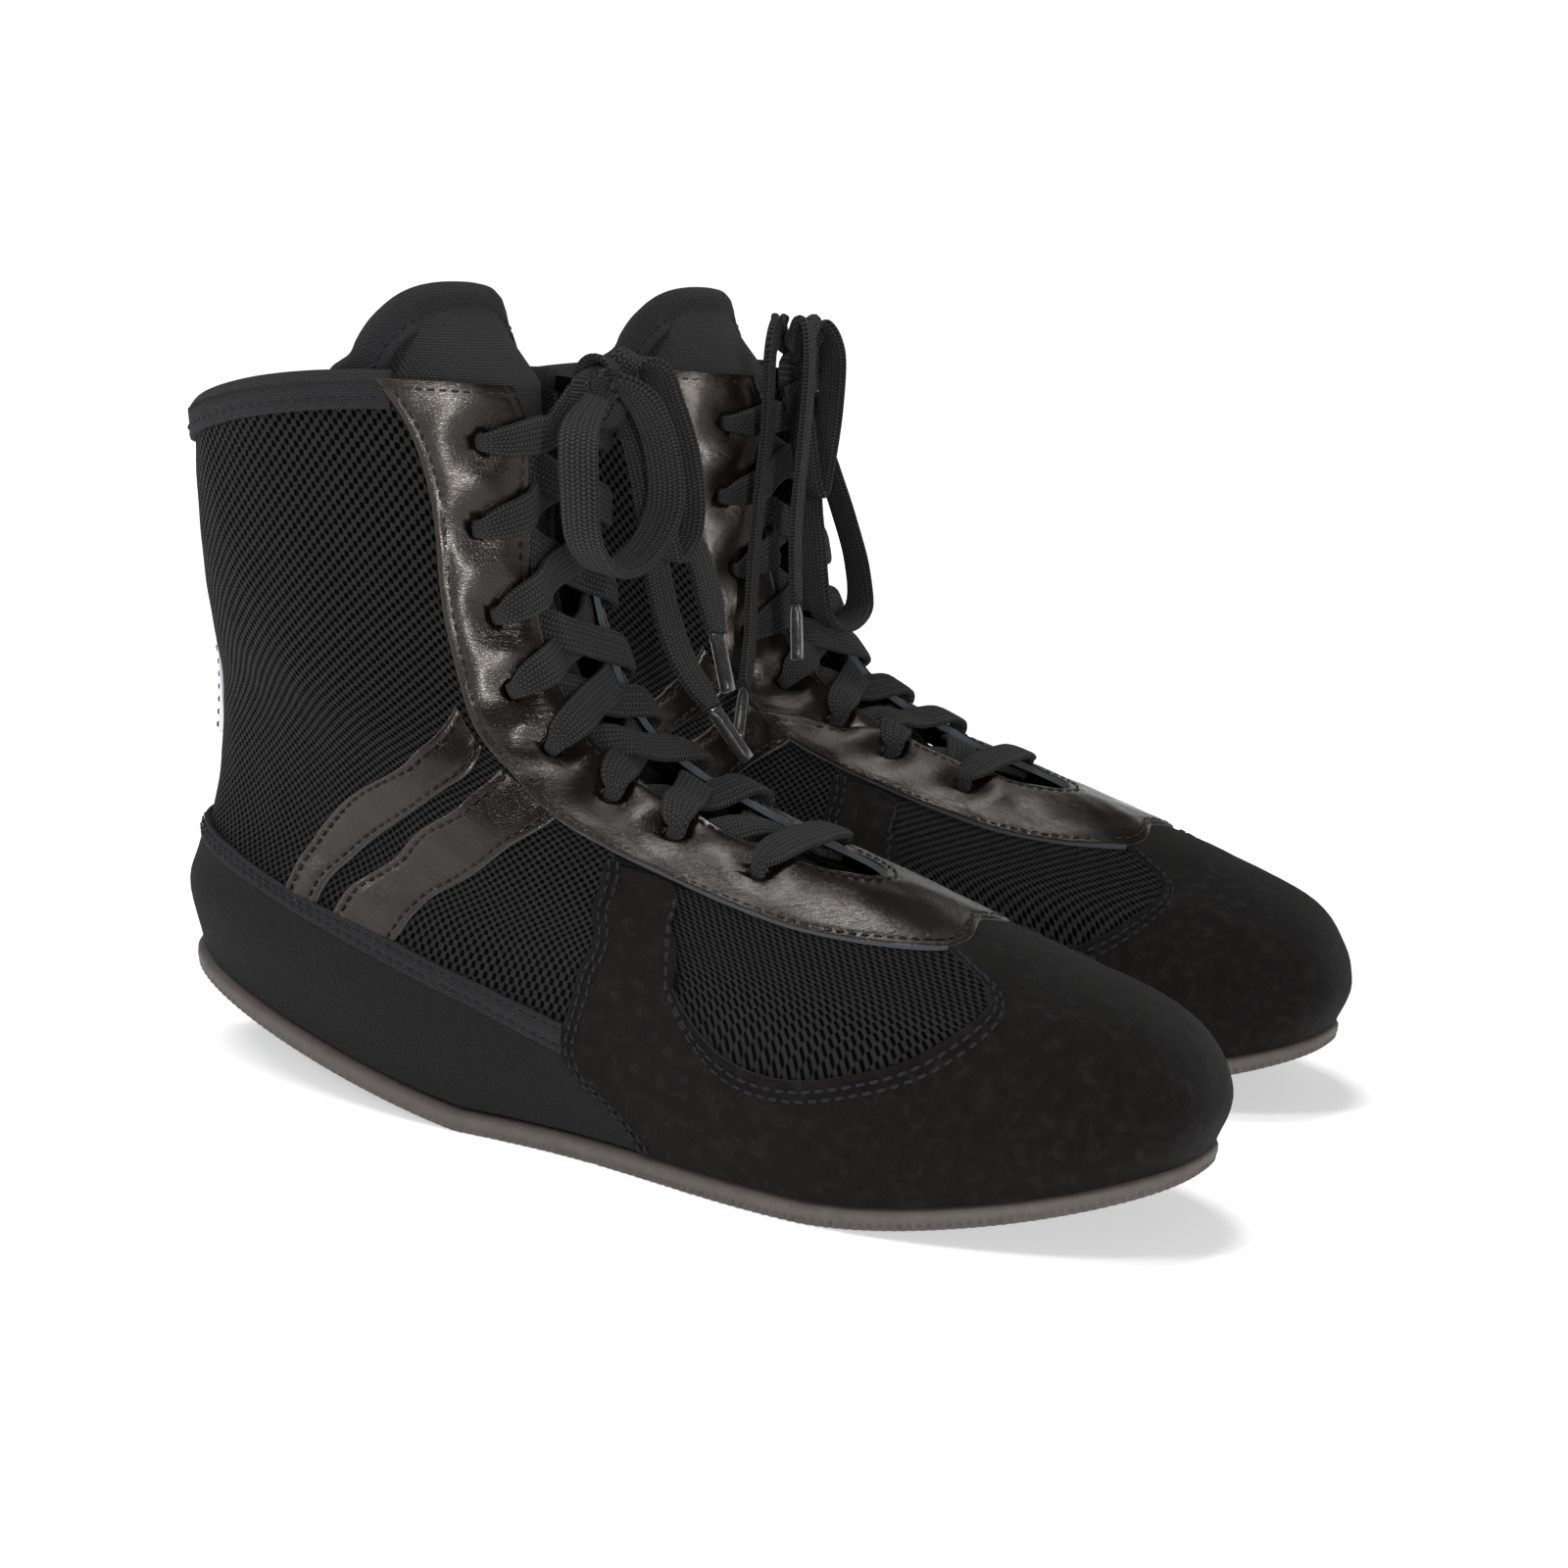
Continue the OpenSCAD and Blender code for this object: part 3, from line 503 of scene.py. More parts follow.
def twill(name, pitch, dark, light, cloth=True, fuzz=0.9):
    """Fine diagonal ribs with a fibrous surface."""
    look = Look(name, Roughness=0.88, Sheen_Weight=0.04, Specular_IOR_Level=0.12)
    co = look.cloth() if cloth else look.solid()
    x, y, z = look.split(co)
    y = y if cloth else z
    line = look.plus(look.plus(x, y), look.times(look.noise(co, 1.2, 2.0), 0.6))
    rib = look.sine(line, 2 * math.pi / pitch)
    cross = look.sine(y, 2 * math.pi / (pitch * 0.8))
    fibre = look.noise(co, 2.4, 5.0, 0.75)
    height = look.plus(look.times(rib, 0.5), look.times(cross, 0.25))
    height = look.plus(height, look.times(fibre, fuzz))
    colour = look.mix(look.step(height, -0.2, 1.1), dark, light)
    return look.done(colour, None, look.bump(height, 0.2))


def lace_cloth(name):
    """Flat woven lace: a herringbone of fuzzy yarns."""
    look = Look(name, Roughness=0.92, Sheen_Weight=0.05, Sheen_Roughness=0.5,
                Specular_IOR_Level=0.1)
    co = look.cloth()
    x, y, _ = look.split(co)
    bend = look.maths("ABSOLUTE", look.sine(x, math.pi / 2.4))
    yarn = look.sine(look.plus(y, look.times(bend, 0.7)), 2 * math.pi / 0.95)
    wale = look.cosine(x, 2 * math.pi / 1.2)
    fibre = look.noise(look.solid(), 2.2, 5.0, 0.75)
    height = look.plus(look.times(yarn, 0.45), look.times(wale, 0.35))
    height = look.plus(height, look.times(fibre, 0.9))
    colour = look.mix(look.step(height, -0.2, 1.2), (0.003, 0.003, 0.0032),
                      (0.03, 0.03, 0.031))
    return look.done(colour, None, look.bump(height, 0.35))


def rubber(name):
    look = Look(name, Specular_IOR_Level=0.25)
    co = look.solid()
    mottled = look.noise(co, 0.25, 4.0, 0.6)
    grit = look.noise(co, 2.6, 4.0, 0.7)
    z = look.split(co)[2]
    colour = look.mix(mottled, (0.055, 0.046, 0.043), (0.1, 0.086, 0.081))
    dust = look.step(grit, 0.62, 0.8)
    colour = look.mix(look.times(dust, 0.3), colour, (0.16, 0.145, 0.135))
    shade = look.step(look.maths("FRACT", look.times(z, 0.5)), 0.2, 0.9)
    rough = look.plus(look.times(grit, 0.2), look.times(shade, 0.05))
    return look.done(colour, look.plus(rough, 0.45), look.bump(grit, 0.12))


def board(name, dark, light, scale):
    look = Look(name, Roughness=0.85)
    co = look.solid()
    fibre = look.noise(co, scale, 5.0, 0.7)
    flecks = look.step(look.cells(co, scale * 0.5, "F1"), 0.1, 0.5)
    colour = look.mix(look.times(fibre, flecks), dark, light)
    return look.done(colour, None, look.bump(fibre, 0.2))


def film(name):
    look = Look(name, Specular_IOR_Level=0.6)
    co = look.solid()
    scuffs = look.noise(co, 0.6, 5.0, 0.7)
    weave_ = look.noise(co, 3.0, 2.0)
    colour = look.mix(scuffs, (0.5, 0.51, 0.53), (0.72, 0.73, 0.75))
    rough = look.plus(look.times(scuffs, 0.3), 0.2)
    return look.done(colour, rough, look.bump(weave_, 0.08))


def clear_tip(name):
    look = Look(name, IOR=1.46, Transmission_Weight=0.1, Specular_IOR_Level=0.4)
    co = look.solid()
    haze = look.noise(co, 0.9, 4.0)
    colour = look.mix(haze, (0.01, 0.01, 0.0105), (0.035, 0.035, 0.036))
    return look.done(colour, look.plus(look.times(haze, 0.25), 0.12),
                     look.bump(haze, 0.1))


def thread(name, tone):
    look = Look(name, Roughness=0.6, Sheen_Weight=0.05, Specular_IOR_Level=0.15)
    co = look.solid()
    x, y, z = look.split(co)
    twist = look.sine(look.plus(x, look.plus(y, look.times(z, 1.7))), 9.0)
    fibre = look.noise(co, 3.0, 3.0)
    mixed = look.plus(look.times(twist, 0.3), fibre)
    return look.done(look.mix(mixed, tuple(c * 0.5 for c in tone), tone), None,
                     look.bump(twist, 0.08))


def studio(name):
    look = Look(name, Roughness=0.8, Specular_IOR_Level=0.1, Emission_Color=(1, 1, 1, 1))
    co = look.solid(1.0)
    # The floor glows, weakly near the boots and strongly further away: painted light that makes
    # the far floor white.
    far = look.add("VectorMath", {0: co}, operation="LENGTH").outputs["Value"]
    look.feed(look.step(far, 0.3, 1.6, 0.42, 0.97), look.shader.inputs["Emission Strength"])
    haze = look.noise(co, 3.0, 3.0)
    return look.done(look.mix(haze, (0.93, 0.93, 0.935), (0.96, 0.96, 0.96)))


QUARTER_KNIT = knit("quarter_knit", 2.3, 1.15, 0.0)
TOE_KNIT = knit("toe_knit", 3.1, 1.5, 0.45)
LEATHER = leather("gloss_leather")
LEATHER_EDGE = raw_edge("leather_cut_edge", (0.085, 0.092, 0.1))
SUEDE = suede("suede")
SUEDE_EDGE = raw_edge("suede_cut_edge", (0.012, 0.0115, 0.0115))
CANVAS = weave("side_canvas", 0.55, (0.0008, 0.0008, 0.0008), (0.0135, 0.0135, 0.014))
CANVAS_EDGE = raw_edge("canvas_cut_edge", (0.014, 0.014, 0.015))
TONGUE_CANVAS = weave("tongue_canvas", 0.6, (0.004, 0.004, 0.0042), (0.03, 0.03, 0.0315),
                      cloth=False)
TAPE = twill("woven_tape", 0.8, (0.0045, 0.0045, 0.005), (0.027, 0.0272, 0.029))
LINING = twill("lining_knit", 1.1, (0.003, 0.003, 0.0034), (0.016, 0.016, 0.017), cloth=False)
SOCK = weave("sock_fabric", 0.7, (0.004, 0.004, 0.0045), (0.02, 0.02, 0.022), cloth=False)
LACE = lace_cloth("lace_cotton")
RUBBER = rubber("sole_rubber")
BOARD = board("insole_board", (0.1, 0.085, 0.07), (0.3, 0.27, 0.23), 0.9)
STIFFENER = board("stiffener", (0.2, 0.2, 0.19), (0.45, 0.45, 0.43), 1.4)
SILVER = film("silver_film")
CLEAR = clear_tip("clear_tip")
DARK_THREAD = thread("dark_thread", (0.012, 0.013, 0.019))
BROWN_THREAD = thread("brown_thread", (0.02, 0.0165, 0.014))
FLOOR = studio("studio_floor")

# ------------------------------------------------------------------ camera
CAMERA_AZIMUTH = math.radians(-64)
CAMERA_ELEVATION = math.radians(10.6)
CAMERA_ROLL = math.radians(4.3)
CAMERA_DISTANCE = 0.6974
CAMERA_TARGET = Vector((-0.0414, -0.0172, 0.080))
CAMERA_LENS = 68.6


def add_camera():
    a, e, r = CAMERA_AZIMUTH, CAMERA_ELEVATION, CAMERA_ROLL
    back = Vector((math.sin(a) * math.cos(e), -math.cos(a) * math.cos(e), math.sin(e)))
    right = Vector((math.cos(a), math.sin(a), 0))
    up = back.cross(right)
    right, up = (right * math.cos(r) + up * math.sin(r), up * math.cos(r) - right * math.sin(r))
    data = bpy.data.cameras.new("camera")
    data.lens = CAMERA_LENS
    data.sensor_width = 36
    data.clip_start = 0.01
    camera = bpy.data.objects.new("camera", data)
    camera.matrix_world = Matrix.Translation(CAMERA_TARGET + CAMERA_DISTANCE * back) @ (
        Matrix((right, up, back)).transposed().to_4x4())
    bpy.context.scene.collection.objects.link(camera)
    bpy.context.scene.camera = camera


add_camera()

# ------------------------------------------------------------------ laces
LACE_W = 8.8
LACE_T = 2.2
HOLES = [(0.1, 0.968), (0.106, 0.92), (0.1, 0.865), (0.112, 0.8), (0.114, 0.737),
         (0.122, 0.662), (0.126, 0.595), (0.124, 0.522)]
OVER = 2.5  # outer face of the eyestays in the CAD, from the shell's middle
# Width and thickness of the lace squeezed in a hole, and where it comes out of one
IN_HOLE = (4.2, 2.0)
OUT_OF_HOLE = (4.4, 2.3)


def flat_section(count=16):
    a = np.linspace(0, 2 * np.pi, count, endpoint=False)
    x = np.sign(np.cos(a)) * np.abs(np.cos(a)) ** 0.55
    y = np.sign(np.sin(a)) * np.abs(np.sin(a)) ** 0.8
    return np.stack([x, y], 1)


def tape_shape(points, across, width, thick):
    """A flat lace along points: its section turns with the across directions."""
    p = np.asarray(points, float)
    tangent = unit(np.gradient(p, axis=0))
    w = np.asarray(across, float)
    w = unit(w - (w * tangent).sum(1, keepdims=True) * tangent)
    n = np.cross(tangent, w)
    section = flat_section()
    m = len(section)
    ring = (p[:, None] + w[:, None] * (section[None, :, :1] * width[:, None, None] / 2)
            + n[:, None] * (section[None, :, 1:] * thick[:, None, None] / 2))
    along = run_length(p[:, None], 0)[:, 0]
    faces = tube_faces(len(p), m)
    uv = np.stack([np.broadcast_to(section[:, 0] * LACE_W / 2, (len(p), m)),
                   np.broadcast_to(along[:, None], (len(p), m))], -1)
    return (ring.reshape(-1, 3), faces), uv.reshape(-1, 2)


def hole_at(side, k):
    return last(side * HOLES[k][0], HOLES[k][1])


def straight(s, k, u, share, rise, width=LACE_W, thick=LACE_T):
    """A row at u, beside the straight line from hole k + 1 on side s to hole k across."""
    target = hole_at(s, k + 1) + share * (hole_at(-s, k) - hole_at(s, k + 1))
    up = hole_at(1, k) - hole_at(1, k + 1)
    v = np.linspace(0.45, 1.1, 160)
    ahead = (last(u, v) - target)[:, 1:] @ up[1:]
    return (u, float(np.interp(0, ahead, v)), rise, width, thick)


def crossing(s, k, rise, first):
    """Out of hole k + 1 on side s, over its flap, under the other flap, out of hole k."""
    a, b = HOLES[k + 1], HOLES[k]
    i = LACE_T / 2
    if first:
        rows = [(s * a[0], a[1], -0.6, *IN_HOLE),
                straight(s, k, s * (a[0] - 0.012), 0.04, -1.3, 6),
                straight(s, k, s * (a[0] - 0.045), 0.18, -1.6)]
    else:
        rows = [(s * (a[0] - 0.002), a[1], OVER + 0.8, *OUT_OF_HOLE),
                straight(s, k, s * (a[0] - 0.018), 0.07, OVER + 1.2 + i, 7.4, LACE_T * 1.1),
                straight(s, k, s * (a[0] - 0.045), 0.2, OVER + 0.5 + i)]
    return rows + [
        straight(s, k, s * 0.025, 0.4, rise),
        straight(s, k, -s * 0.025, 0.6, rise),
        straight(s, k, -s * (b[0] - 0.045), 0.82, -1.6),
        straight(s, k, -s * (b[0] - 0.012), 0.96, -1.3, 6),
        (-s * b[0], b[1], -0.6, *IN_HOLE),
    ]


def hand(k):
    return 1 if k % 2 == 0 else -1


def strand(s):
    top = len(HOLES) - 2
    rows = []
    for k in range(top, -1, -1):
        rows += crossing(s * hand(top - k), k, -1.7 if s > 0 else 0.6, k == top)
    e = -s * hand(top)
    b = HOLES[0]
    i = LACE_T / 2
    return rows + [
        (e * (b[0] - 0.002), b[1], OVER + 0.8, *OUT_OF_HOLE),
        (e * (b[0] - 0.02), b[1] + 0.002, OVER + 1.2 + i, 7.0, LACE_T * 1.1),
        (e * (b[0] - 0.05), b[1] + 0.006, OVER + 0.5 + i, LACE_W, LACE_T),
        (e * 0.03, b[1] + 0.01, 4, 7, LACE_T),
    ]


def lowest_bar():
    """Straight across from one lowest hole to the other, over both flaps."""
    u, v = HOLES[-1]
    y = hole_at(1, len(HOLES) - 1)[1]
    rows = []
    for x in (-1, -0.85, -0.6, -0.3, 0, 0.3, 0.6, 0.85, 1):
        line = np.linspace(0.45, 0.9, 120)
        at = float(np.interp(y - 1.5 * (1 - abs(x)), last(x * u, line)[:, 1], line))
        end = abs(x) > 0.9
        rows.append((x * u, v if end else at, OVER + 0.6 + LACE_T / 2,
                     3.8 if end else 7 if abs(x) > 0.8 else LACE_W, 2.0 if end else LACE_T))
    return rows


def lacing_shape(knot):
    rows = np.array(strand(-1)[::-1] + lowest_bar() + strand(1))
    turns = hand(len(HOLES) - 2)
    p = lift(rows[:, 0], rows[:, 1], rows[:, 2])
    d = 0.01
    across = unit(last(rows[:, 0], rows[:, 1] + d) - last(rows[:, 0], rows[:, 1] - d))
    ends = [knot + np.array([turns * 5, 2, 0]), knot + np.array([-turns * 5, 2, 0])]
    p = np.vstack([ends[:1], p, ends[1:]])
    across = np.vstack([[0, 0.3, 1], across, [0, 0.3, 1]])
    size = np.vstack([[6, LACE_T], rows[:, 3:], [6, LACE_T]])
    x = np.linspace(0, len(p) - 1, (len(p) - 1) * 6 + 1)
    fine = through(np.hstack([p, across, size]), x)
    return tape_shape(fine[:, :3], fine[:, 3:6], fine[:, 6], fine[:, 7])


# Routes of the bows in the left boot's frame, as in the CAD
KNOT = {"right": np.array([1.0, 25, 168]), "left": np.array([-8.0, 28, 171])}
ROUTES = {
    "right": {
        "front_loop": [(5, 22, 167), (9, 17, 171), (4, 12, 167), (-3, 10, 156), (-6, 10, 143),
                       (3, 10, 133), (17, 10, 130), (29, 10, 137), (33, 10, 150),
                       (29, 13, 161), (12, 19, 167)],
        "rear_loop": [(0, 23, 169), (-2, 20, 175), (-7, 16, 174), (-13, 15, 166),
                      (-19, 14, 156), (-24, 14, 144), (-23, 14, 135), (-16, 14, 131),
                      (-11, 15, 140), (-8, 17, 152), (-5, 21, 163)],
        "tail_a": [(-3, 23, 166), (-12, 22, 158), (-18, 22, 147), (-21, 21, 134),
                   (-19, 16, 120), (-16, 8, 107), (-17, 0, 97)],
        "tail_b": [(-6, 24, 171), (-19, 21, 163), (-27, 21, 151), (-30, 19, 139),
                   (-30, 12, 127), (-26, 5, 113)],
    },
    "left": {
        "front_loop": [(-14, 27, 171), (-14, 24, 179), (-13, 21, 183), (-11, 18, 176),
                       (-12, 17, 162), (-14, 17, 149), (-17, 17, 140), (-20, 18, 144),
                       (-20, 21, 157), (-16, 26, 167)],
        "rear_loop": [(-7, 28, 169), (-4, 25, 156), (0, 22, 145), (4, 18, 132), (8, 15, 119),
                      (7, 13, 108), (-6, 12, 104), (-16, 13, 108), (-18, 15, 119),
                      (-13, 20, 132), (-8, 25, 150), (-7, 27, 163)],
        "tail_a": [(-8, 31, 172), (-12, 32, 178), (-20, 30, 181), (-27, 28, 177),
                   (-27, 28, 168), (-26, 28, 156), (-27, 28, 143), (-28, 28, 129),
                   (-30, 27, 114), (-33, 25, 100), (-40, 22, 89)],
        "tail_b": [(-12, 27, 174), (-20, 25, 180), (-25, 19, 183), (-28, 16, 173),
                   (-30, 15, 158), (-33, 14, 143), (-37, 12, 129), (-39, 10, 118),
                   (-40, 9, 113)],
    },
}
LOOP_ACROSS = (0.3, 1, 0.15)
TAIL_ACROSS = (1, 0.25, 0)
AGLET_D = 3.2


def free_lace(side, name, route):
    """One loop or tail of a bow, with a clear tip on a tail."""
    tail = name.startswith("tail")
    end = len(route) - 1
    x = np.linspace(0, end, end * 12 + 1)
    p = through(route, x)
    across = np.broadcast_to(TAIL_ACROSS if tail else LOOP_ACROSS, p.shape)
    flare = x if tail else np.minimum(x, x[::-1])
    width = LACE_W * (0.72 + 0.28 * smooth(0, 1.2, flare))
    if tail:
        width = width * (1 - 0.3 * smooth(end - 0.5, end, x))
    shape, uv = tape_shape(p, across, width, np.full(len(p), LACE_T * 1.1))
    node = "lace_tails" if tail else "bow_loops"
    ob = both(name, shape, [LACE], [node], [side], uv=uv)[side]
    pieces = [aglet(side, name, p)] if tail else []


def aglet(side, name, p):
    """The clear tip of a tail, which carries on from its last point."""
    way = unit(p[-1] - p[-4])
    at = np.array([0.2, 1.5, 3, 8, 12, 14.6, 15])
    q = p[-1] + at[:, None] * way
    width = np.array([5.0, 4.2, *[AGLET_D] * 4, 2.2])
    thick = np.array([1.9, 2.4, *[AGLET_D] * 4, 2.2])
    shape, uv = tape_shape(q, np.broadcast_to(TAIL_ACROSS, q.shape), width, thick)
    return both(name + "_tip", shape, [CLEAR], ["aglets"], [side], uv=uv)[side]


def knot_shape(c):
    """Two laces wrapped over each other."""
    x = np.linspace(-1, 1, 25)
    bulge = np.sqrt(np.clip(1.06 - x * x, 0, None))
    p = c + np.stack([x * 8, -0.8 * np.cos(x * 3), -np.abs(x)], 1)
    wrap, uv = tape_shape(p, np.broadcast_to((0, 0, 1.0), p.shape), 4 + 8 * bulge,
                          3 + 5.5 * bulge)
    a = np.linspace(0, 2 * np.pi, 40, endpoint=False)
    ring = c + np.stack([1.8 * np.sin(a) * 0.8, -5.2 * np.cos(a) - 0.4, 7.4 * np.sin(a)], 1)
    band, band_uv = tape_shape(ring, np.broadcast_to((1.0, 0, 0.2), ring.shape),
                               np.full(len(a), 6.6), np.full(len(a), 1.8))
    return joined([wrap, band])[0], np.vstack([uv, band_uv])


def add_laces():
    for side in SIDES:
        shape, uv = lacing_shape(KNOT[side])
        both("lacing", shape, [LACE], ["lacing"], [side], uv=uv)
        shape, uv = knot_shape(KNOT[side])
        both("bow_knot", shape, [LACE], ["bow_knot"], [side], uv=uv)
        for name, route in ROUTES[side].items():
            free_lace(side, name, route)


add_laces()

# ------------------------------------------------------------------ outlines
QUARTER_FRONT = [(0, 0.25), (0.1, 0.25), (0.25, 0.243), (0.38, 0.225), (0.48, 0.2),
                 (0.56, 0.176), (0.62, 0.158), (0.7, 0.143), (0.8, 0.133), (1, 0.128)]
VAMP_TOP = [(0, 0.478), (0.45, 0.44), (0.75, 0.45), (1, 0.475)]
THROAT_IN = [(0.068, 1), (0.052, 0.972), (0.055, 0.92), (0.06, 0.86), (0.065, 0.8),
             (0.068, 0.74), (0.07, 0.68), (0.072, 0.63), (0.07, 0.587), (0.055, 0.558),
             (0.028, 0.546), (0.008, 0.543), (0, 0.542)]
THROAT_OUT = [(0.185, 1), (0.158, 0.965), (0.144, 0.92), (0.148, 0.86), (0.155, 0.8),
              (0.168, 0.735), (0.18, 0.67), (0.194, 0.6), (0.197, 0.54), (0.185, 0.485),
              (0.15, 0.418), (0.085, 0.418), (0, 0.466)]
TAPE_TOP = [(0.25, 0.157), (0.28, 0.192), (0.31, 0.22), (0.35, 0.247), (0.4, 0.293),
            (0.45, 0.32), (0.5, 0.335)]
TAPE_LOW = [(0.25, 0.118), (0.28, 0.16), (0.31, 0.183), (0.35, 0.212), (0.4, 0.25),
            (0.45, 0.28), (0.5, 0.295)]
REAR_BAND = ([(0.17, 0.765), (0.239, 0.653), (0.307, 0.527), (0.339, 0.433), (0.354, 0.34),
              (0.358, 0.24)],
             [(0.177, 0.71), (0.225, 0.62), (0.269, 0.543), (0.314, 0.427), (0.335, 0.325),
              (0.342, 0.225)])
FRONT_BAND = ([(0.187, 0.665), (0.238, 0.573), (0.288, 0.467), (0.31, 0.38), (0.326, 0.3),
               (0.333, 0.215)],
              [(0.19, 0.585), (0.235, 0.5), (0.262, 0.437), (0.289, 0.343), (0.3, 0.27),
               (0.307, 0.2)])
# The suede's upper edge as (share of the way to the quarter's front edge, v), with the
# share at the feather line that each of its points faces
SUEDE_EDGE_LINE = [(0, 0.478, 0), (0.2, 0.468, 0.16), (0.33, 0.443, 0.3), (0.36, 0.41, 0.36),
                   (0.378, 0.365, 0.4), (0.43, 0.315, 0.46), (0.52, 0.262, 0.54),
                   (0.61, 0.217, 0.62), (0.70, 0.187, 0.70), (0.785, 0.168, 0.78),
                   (0.85, 0.177, 0.84), (0.89, 0.217, 0.875), (0.905, 0.275, 0.9),
                   (0.9, 0.34, 0.92), (0.88, 0.4, 0.94), (0.87, 0.46, 0.955),
                   (0.93, 0.478, 0.975), (1, 0.482, 1)]


def quarter_front(v):
    return table(QUARTER_FRONT, v)


def between(line_a, line_b, x, w):
    """A grid of (u, v) between two outlines of (u, v) points."""
    a = through(line_a, x)[:, None]
    b = through(line_b, x)[:, None]
    g = a + (b - a) * w[None, :, None]
    return g[..., 0], g[..., 1]


# ------------------------------------------------------------------ stitches
FINE = {"length": 2.0, "radius": 0.26}
FINEST = {"length": 2.0, "radius": 0.25}
CLOSE = {"length": 2.0, "radius": 0.25, "pitch": 2.7}


class Stitches:
    """Collects rows of sewn stitches, then makes one piece of them for each boot."""

    def __init__(self):
        self.shapes = []

    def row(self, points, normals, pitch=3.1, length=2.3, radius=0.32):
        s = run_length(points[:, None], 0)[:, 0]
        at = np.arange(pitch / 2, s[-1], pitch)
        if not len(at):
            return

        def along_row(where, values):
            return np.stack([np.interp(where, s, values[:, k]) for k in range(3)], 1)

        p = along_row(at, points)
        n = unit(along_row(at, normals))
        t = unit(along_row(np.minimum(at + 0.3, s[-1]), points)
                 - along_row(np.maximum(at - 0.3, 0), points))
        b = np.cross(n, t)
        along = np.array([-0.5, -0.3, 0.3, 0.5]) * length
        size = np.array([0.35, 1, 1, 0.35]) * radius
        height = np.array([-0.25, 0.18, 0.18, -0.25])
        a = np.linspace(0, 2 * np.pi, 6, endpoint=False)
        ring = (p[:, None, None] + t[:, None, None] * along[None, :, None, None]
                + n[:, None, None] * (height[None, :, None, None]
                                      + (size[:, None] * np.sin(a))[None, :, :, None])
                + b[:, None, None] * (size[:, None] * np.cos(a) * 1.15)[None, :, :, None])
        faces = tube_faces(len(along), len(a))
        self.shapes += [(one.reshape(-1, 3), faces) for one in ring]

    def uv_row(self, u, v, t, **sizes):
        self.row(lift(u, v, np.full(u.shape, t)), normal(u, v), **sizes)

    def make(self, name, material, body="boot"):
        return both(name, joined(self.shapes)[0], [material], body=body)


dark_stitches = Stitches()
brown_stitches = Stitches()


def inset_rows(stitches, u, v, t, insets, sides, **sizes):
    """Rows of stitches at set distances from the sides of a grid of (u, v)."""
    p = last(u, v)
    across, up = run_length(p, 1), run_length(p, 0)
    for key in sides:
        for inset in insets:
            d = {"l": across, "r": across[:, -1:] - across, "b": up, "t": up[-1:] - up}[key]
            lines = [x if key in "lr" else x.T for x in (d, u, v)]
            if key in "rt":
                lines = [x[:, ::-1] for x in lines]
            line = [[np.interp(inset, *pair) for pair in zip(lines[0], x)] for x in lines[1:]]
            stitches.uv_row(*np.array(line), t, **sizes)


# ------------------------------------------------------------------ upper
# Inner and outer faces of each layer, in mm outwards from the last
QUARTER = (-0.6, 0.6)
VAMP = (-0.6, 0.55)
SUEDE_LAYER = (0.5, 2.0)
CANVAS_LAYER = (0.4, 1.3)
TAPE_LAYER = (1.0, 2.1)
BAND = (0.4, 1.7)
EYESTAY = {"eyestay_lateral": (0.4, 2.3), "eyestay_medial": (0.4, 2.05)}
PATCH = (0.4, 1.9)
QUARTER_LINING = (-4.3, -3.2)
LOWEST_V = 0.012  # where the suede and the canvas tuck in at the sole
MESH_LOWEST_V = 0.015
SUEDE_COLUMNS = 241
COLLAR_V = 1.006  # the top of the folded tape


def soft(p, v):
    """The slight unevenness of cloth that nothing holds flat."""
    return 0.35 * waves(p, 46, 3) + 0.18 * waves(p, 15, 4)


def add_quarters():
    for side_sign, name in ((1, "quarter_lateral"), (-1, "quarter_medial")):
        rows = np.linspace(MESH_LOWEST_V, 0.988, 76)
        share = np.linspace(0, 1, 60) ** 1.15
        v = np.repeat(rows[:, None], len(share), 1)
        front = quarter_front(rows)[:, None] + 0.003
        u = side_sign * (front + (0.4995 - front) * share[None])
        panel(name, u, v, QUARTER, [QUARTER_KNIT, CANVAS_EDGE], "knit_mesh", soft,
              uv_from_heel(u, v))


def uv_from_heel(u, v):
    """Cloth coordinates measured from the heel seam, so that rows run level."""
    p = last(u, v)
    across = run_length(p, 1)
    across = across[:, -1:] - across
    up = run_length(p, 0)
    up = up * 0.35 + up[:, -1:] * 0.65
    uv = np.stack([across, up], -1).reshape(-1, 2)
    return np.vstack([uv, uv])


def add_vamp():
    share = np.linspace(-1, 1, 81)
    x = np.linspace(0, 1, 44)[:, None]
    top = table(VAMP_TOP, np.abs(share))[None]
    v = MESH_LOWEST_V + (top - MESH_LOWEST_V) * x
    u = share[None] * (quarter_front(v) + 0.002)
    p = last(u, v)
    flat = np.stack([p[..., 1], run_length(p, 1) - run_length(p, 1)[:, 40:41]], -1)
    uv = flat.reshape(-1, 2)
    panel("vamp_mesh", u, v, VAMP, [TOE_KNIT, CANVAS_EDGE], "knit_mesh",
          lambda p, v: 0.15 * waves(p, 18, 5), np.vstack([uv, uv]))


def suede_grid(columns, rows):
    s = np.linspace(-(len(SUEDE_EDGE_LINE) - 1), len(SUEDE_EDGE_LINE) - 1, columns)
    line = through(SUEDE_EDGE_LINE, np.abs(s))
    a_top = np.sign(s) * line[:, 0]
    a_low = np.sign(s) * line[:, 2]
    v_top = line[:, 1]
    w = rows[:, None]
    v = LOWEST_V + (v_top[None] - LOWEST_V) * w
    a = a_low[None] + (a_top - a_low)[None] * w ** 0.8
    edge = quarter_front(v) + 0.007 - 0.016 * (1 - smooth(0, 0.15, v))
    return a * edge, v


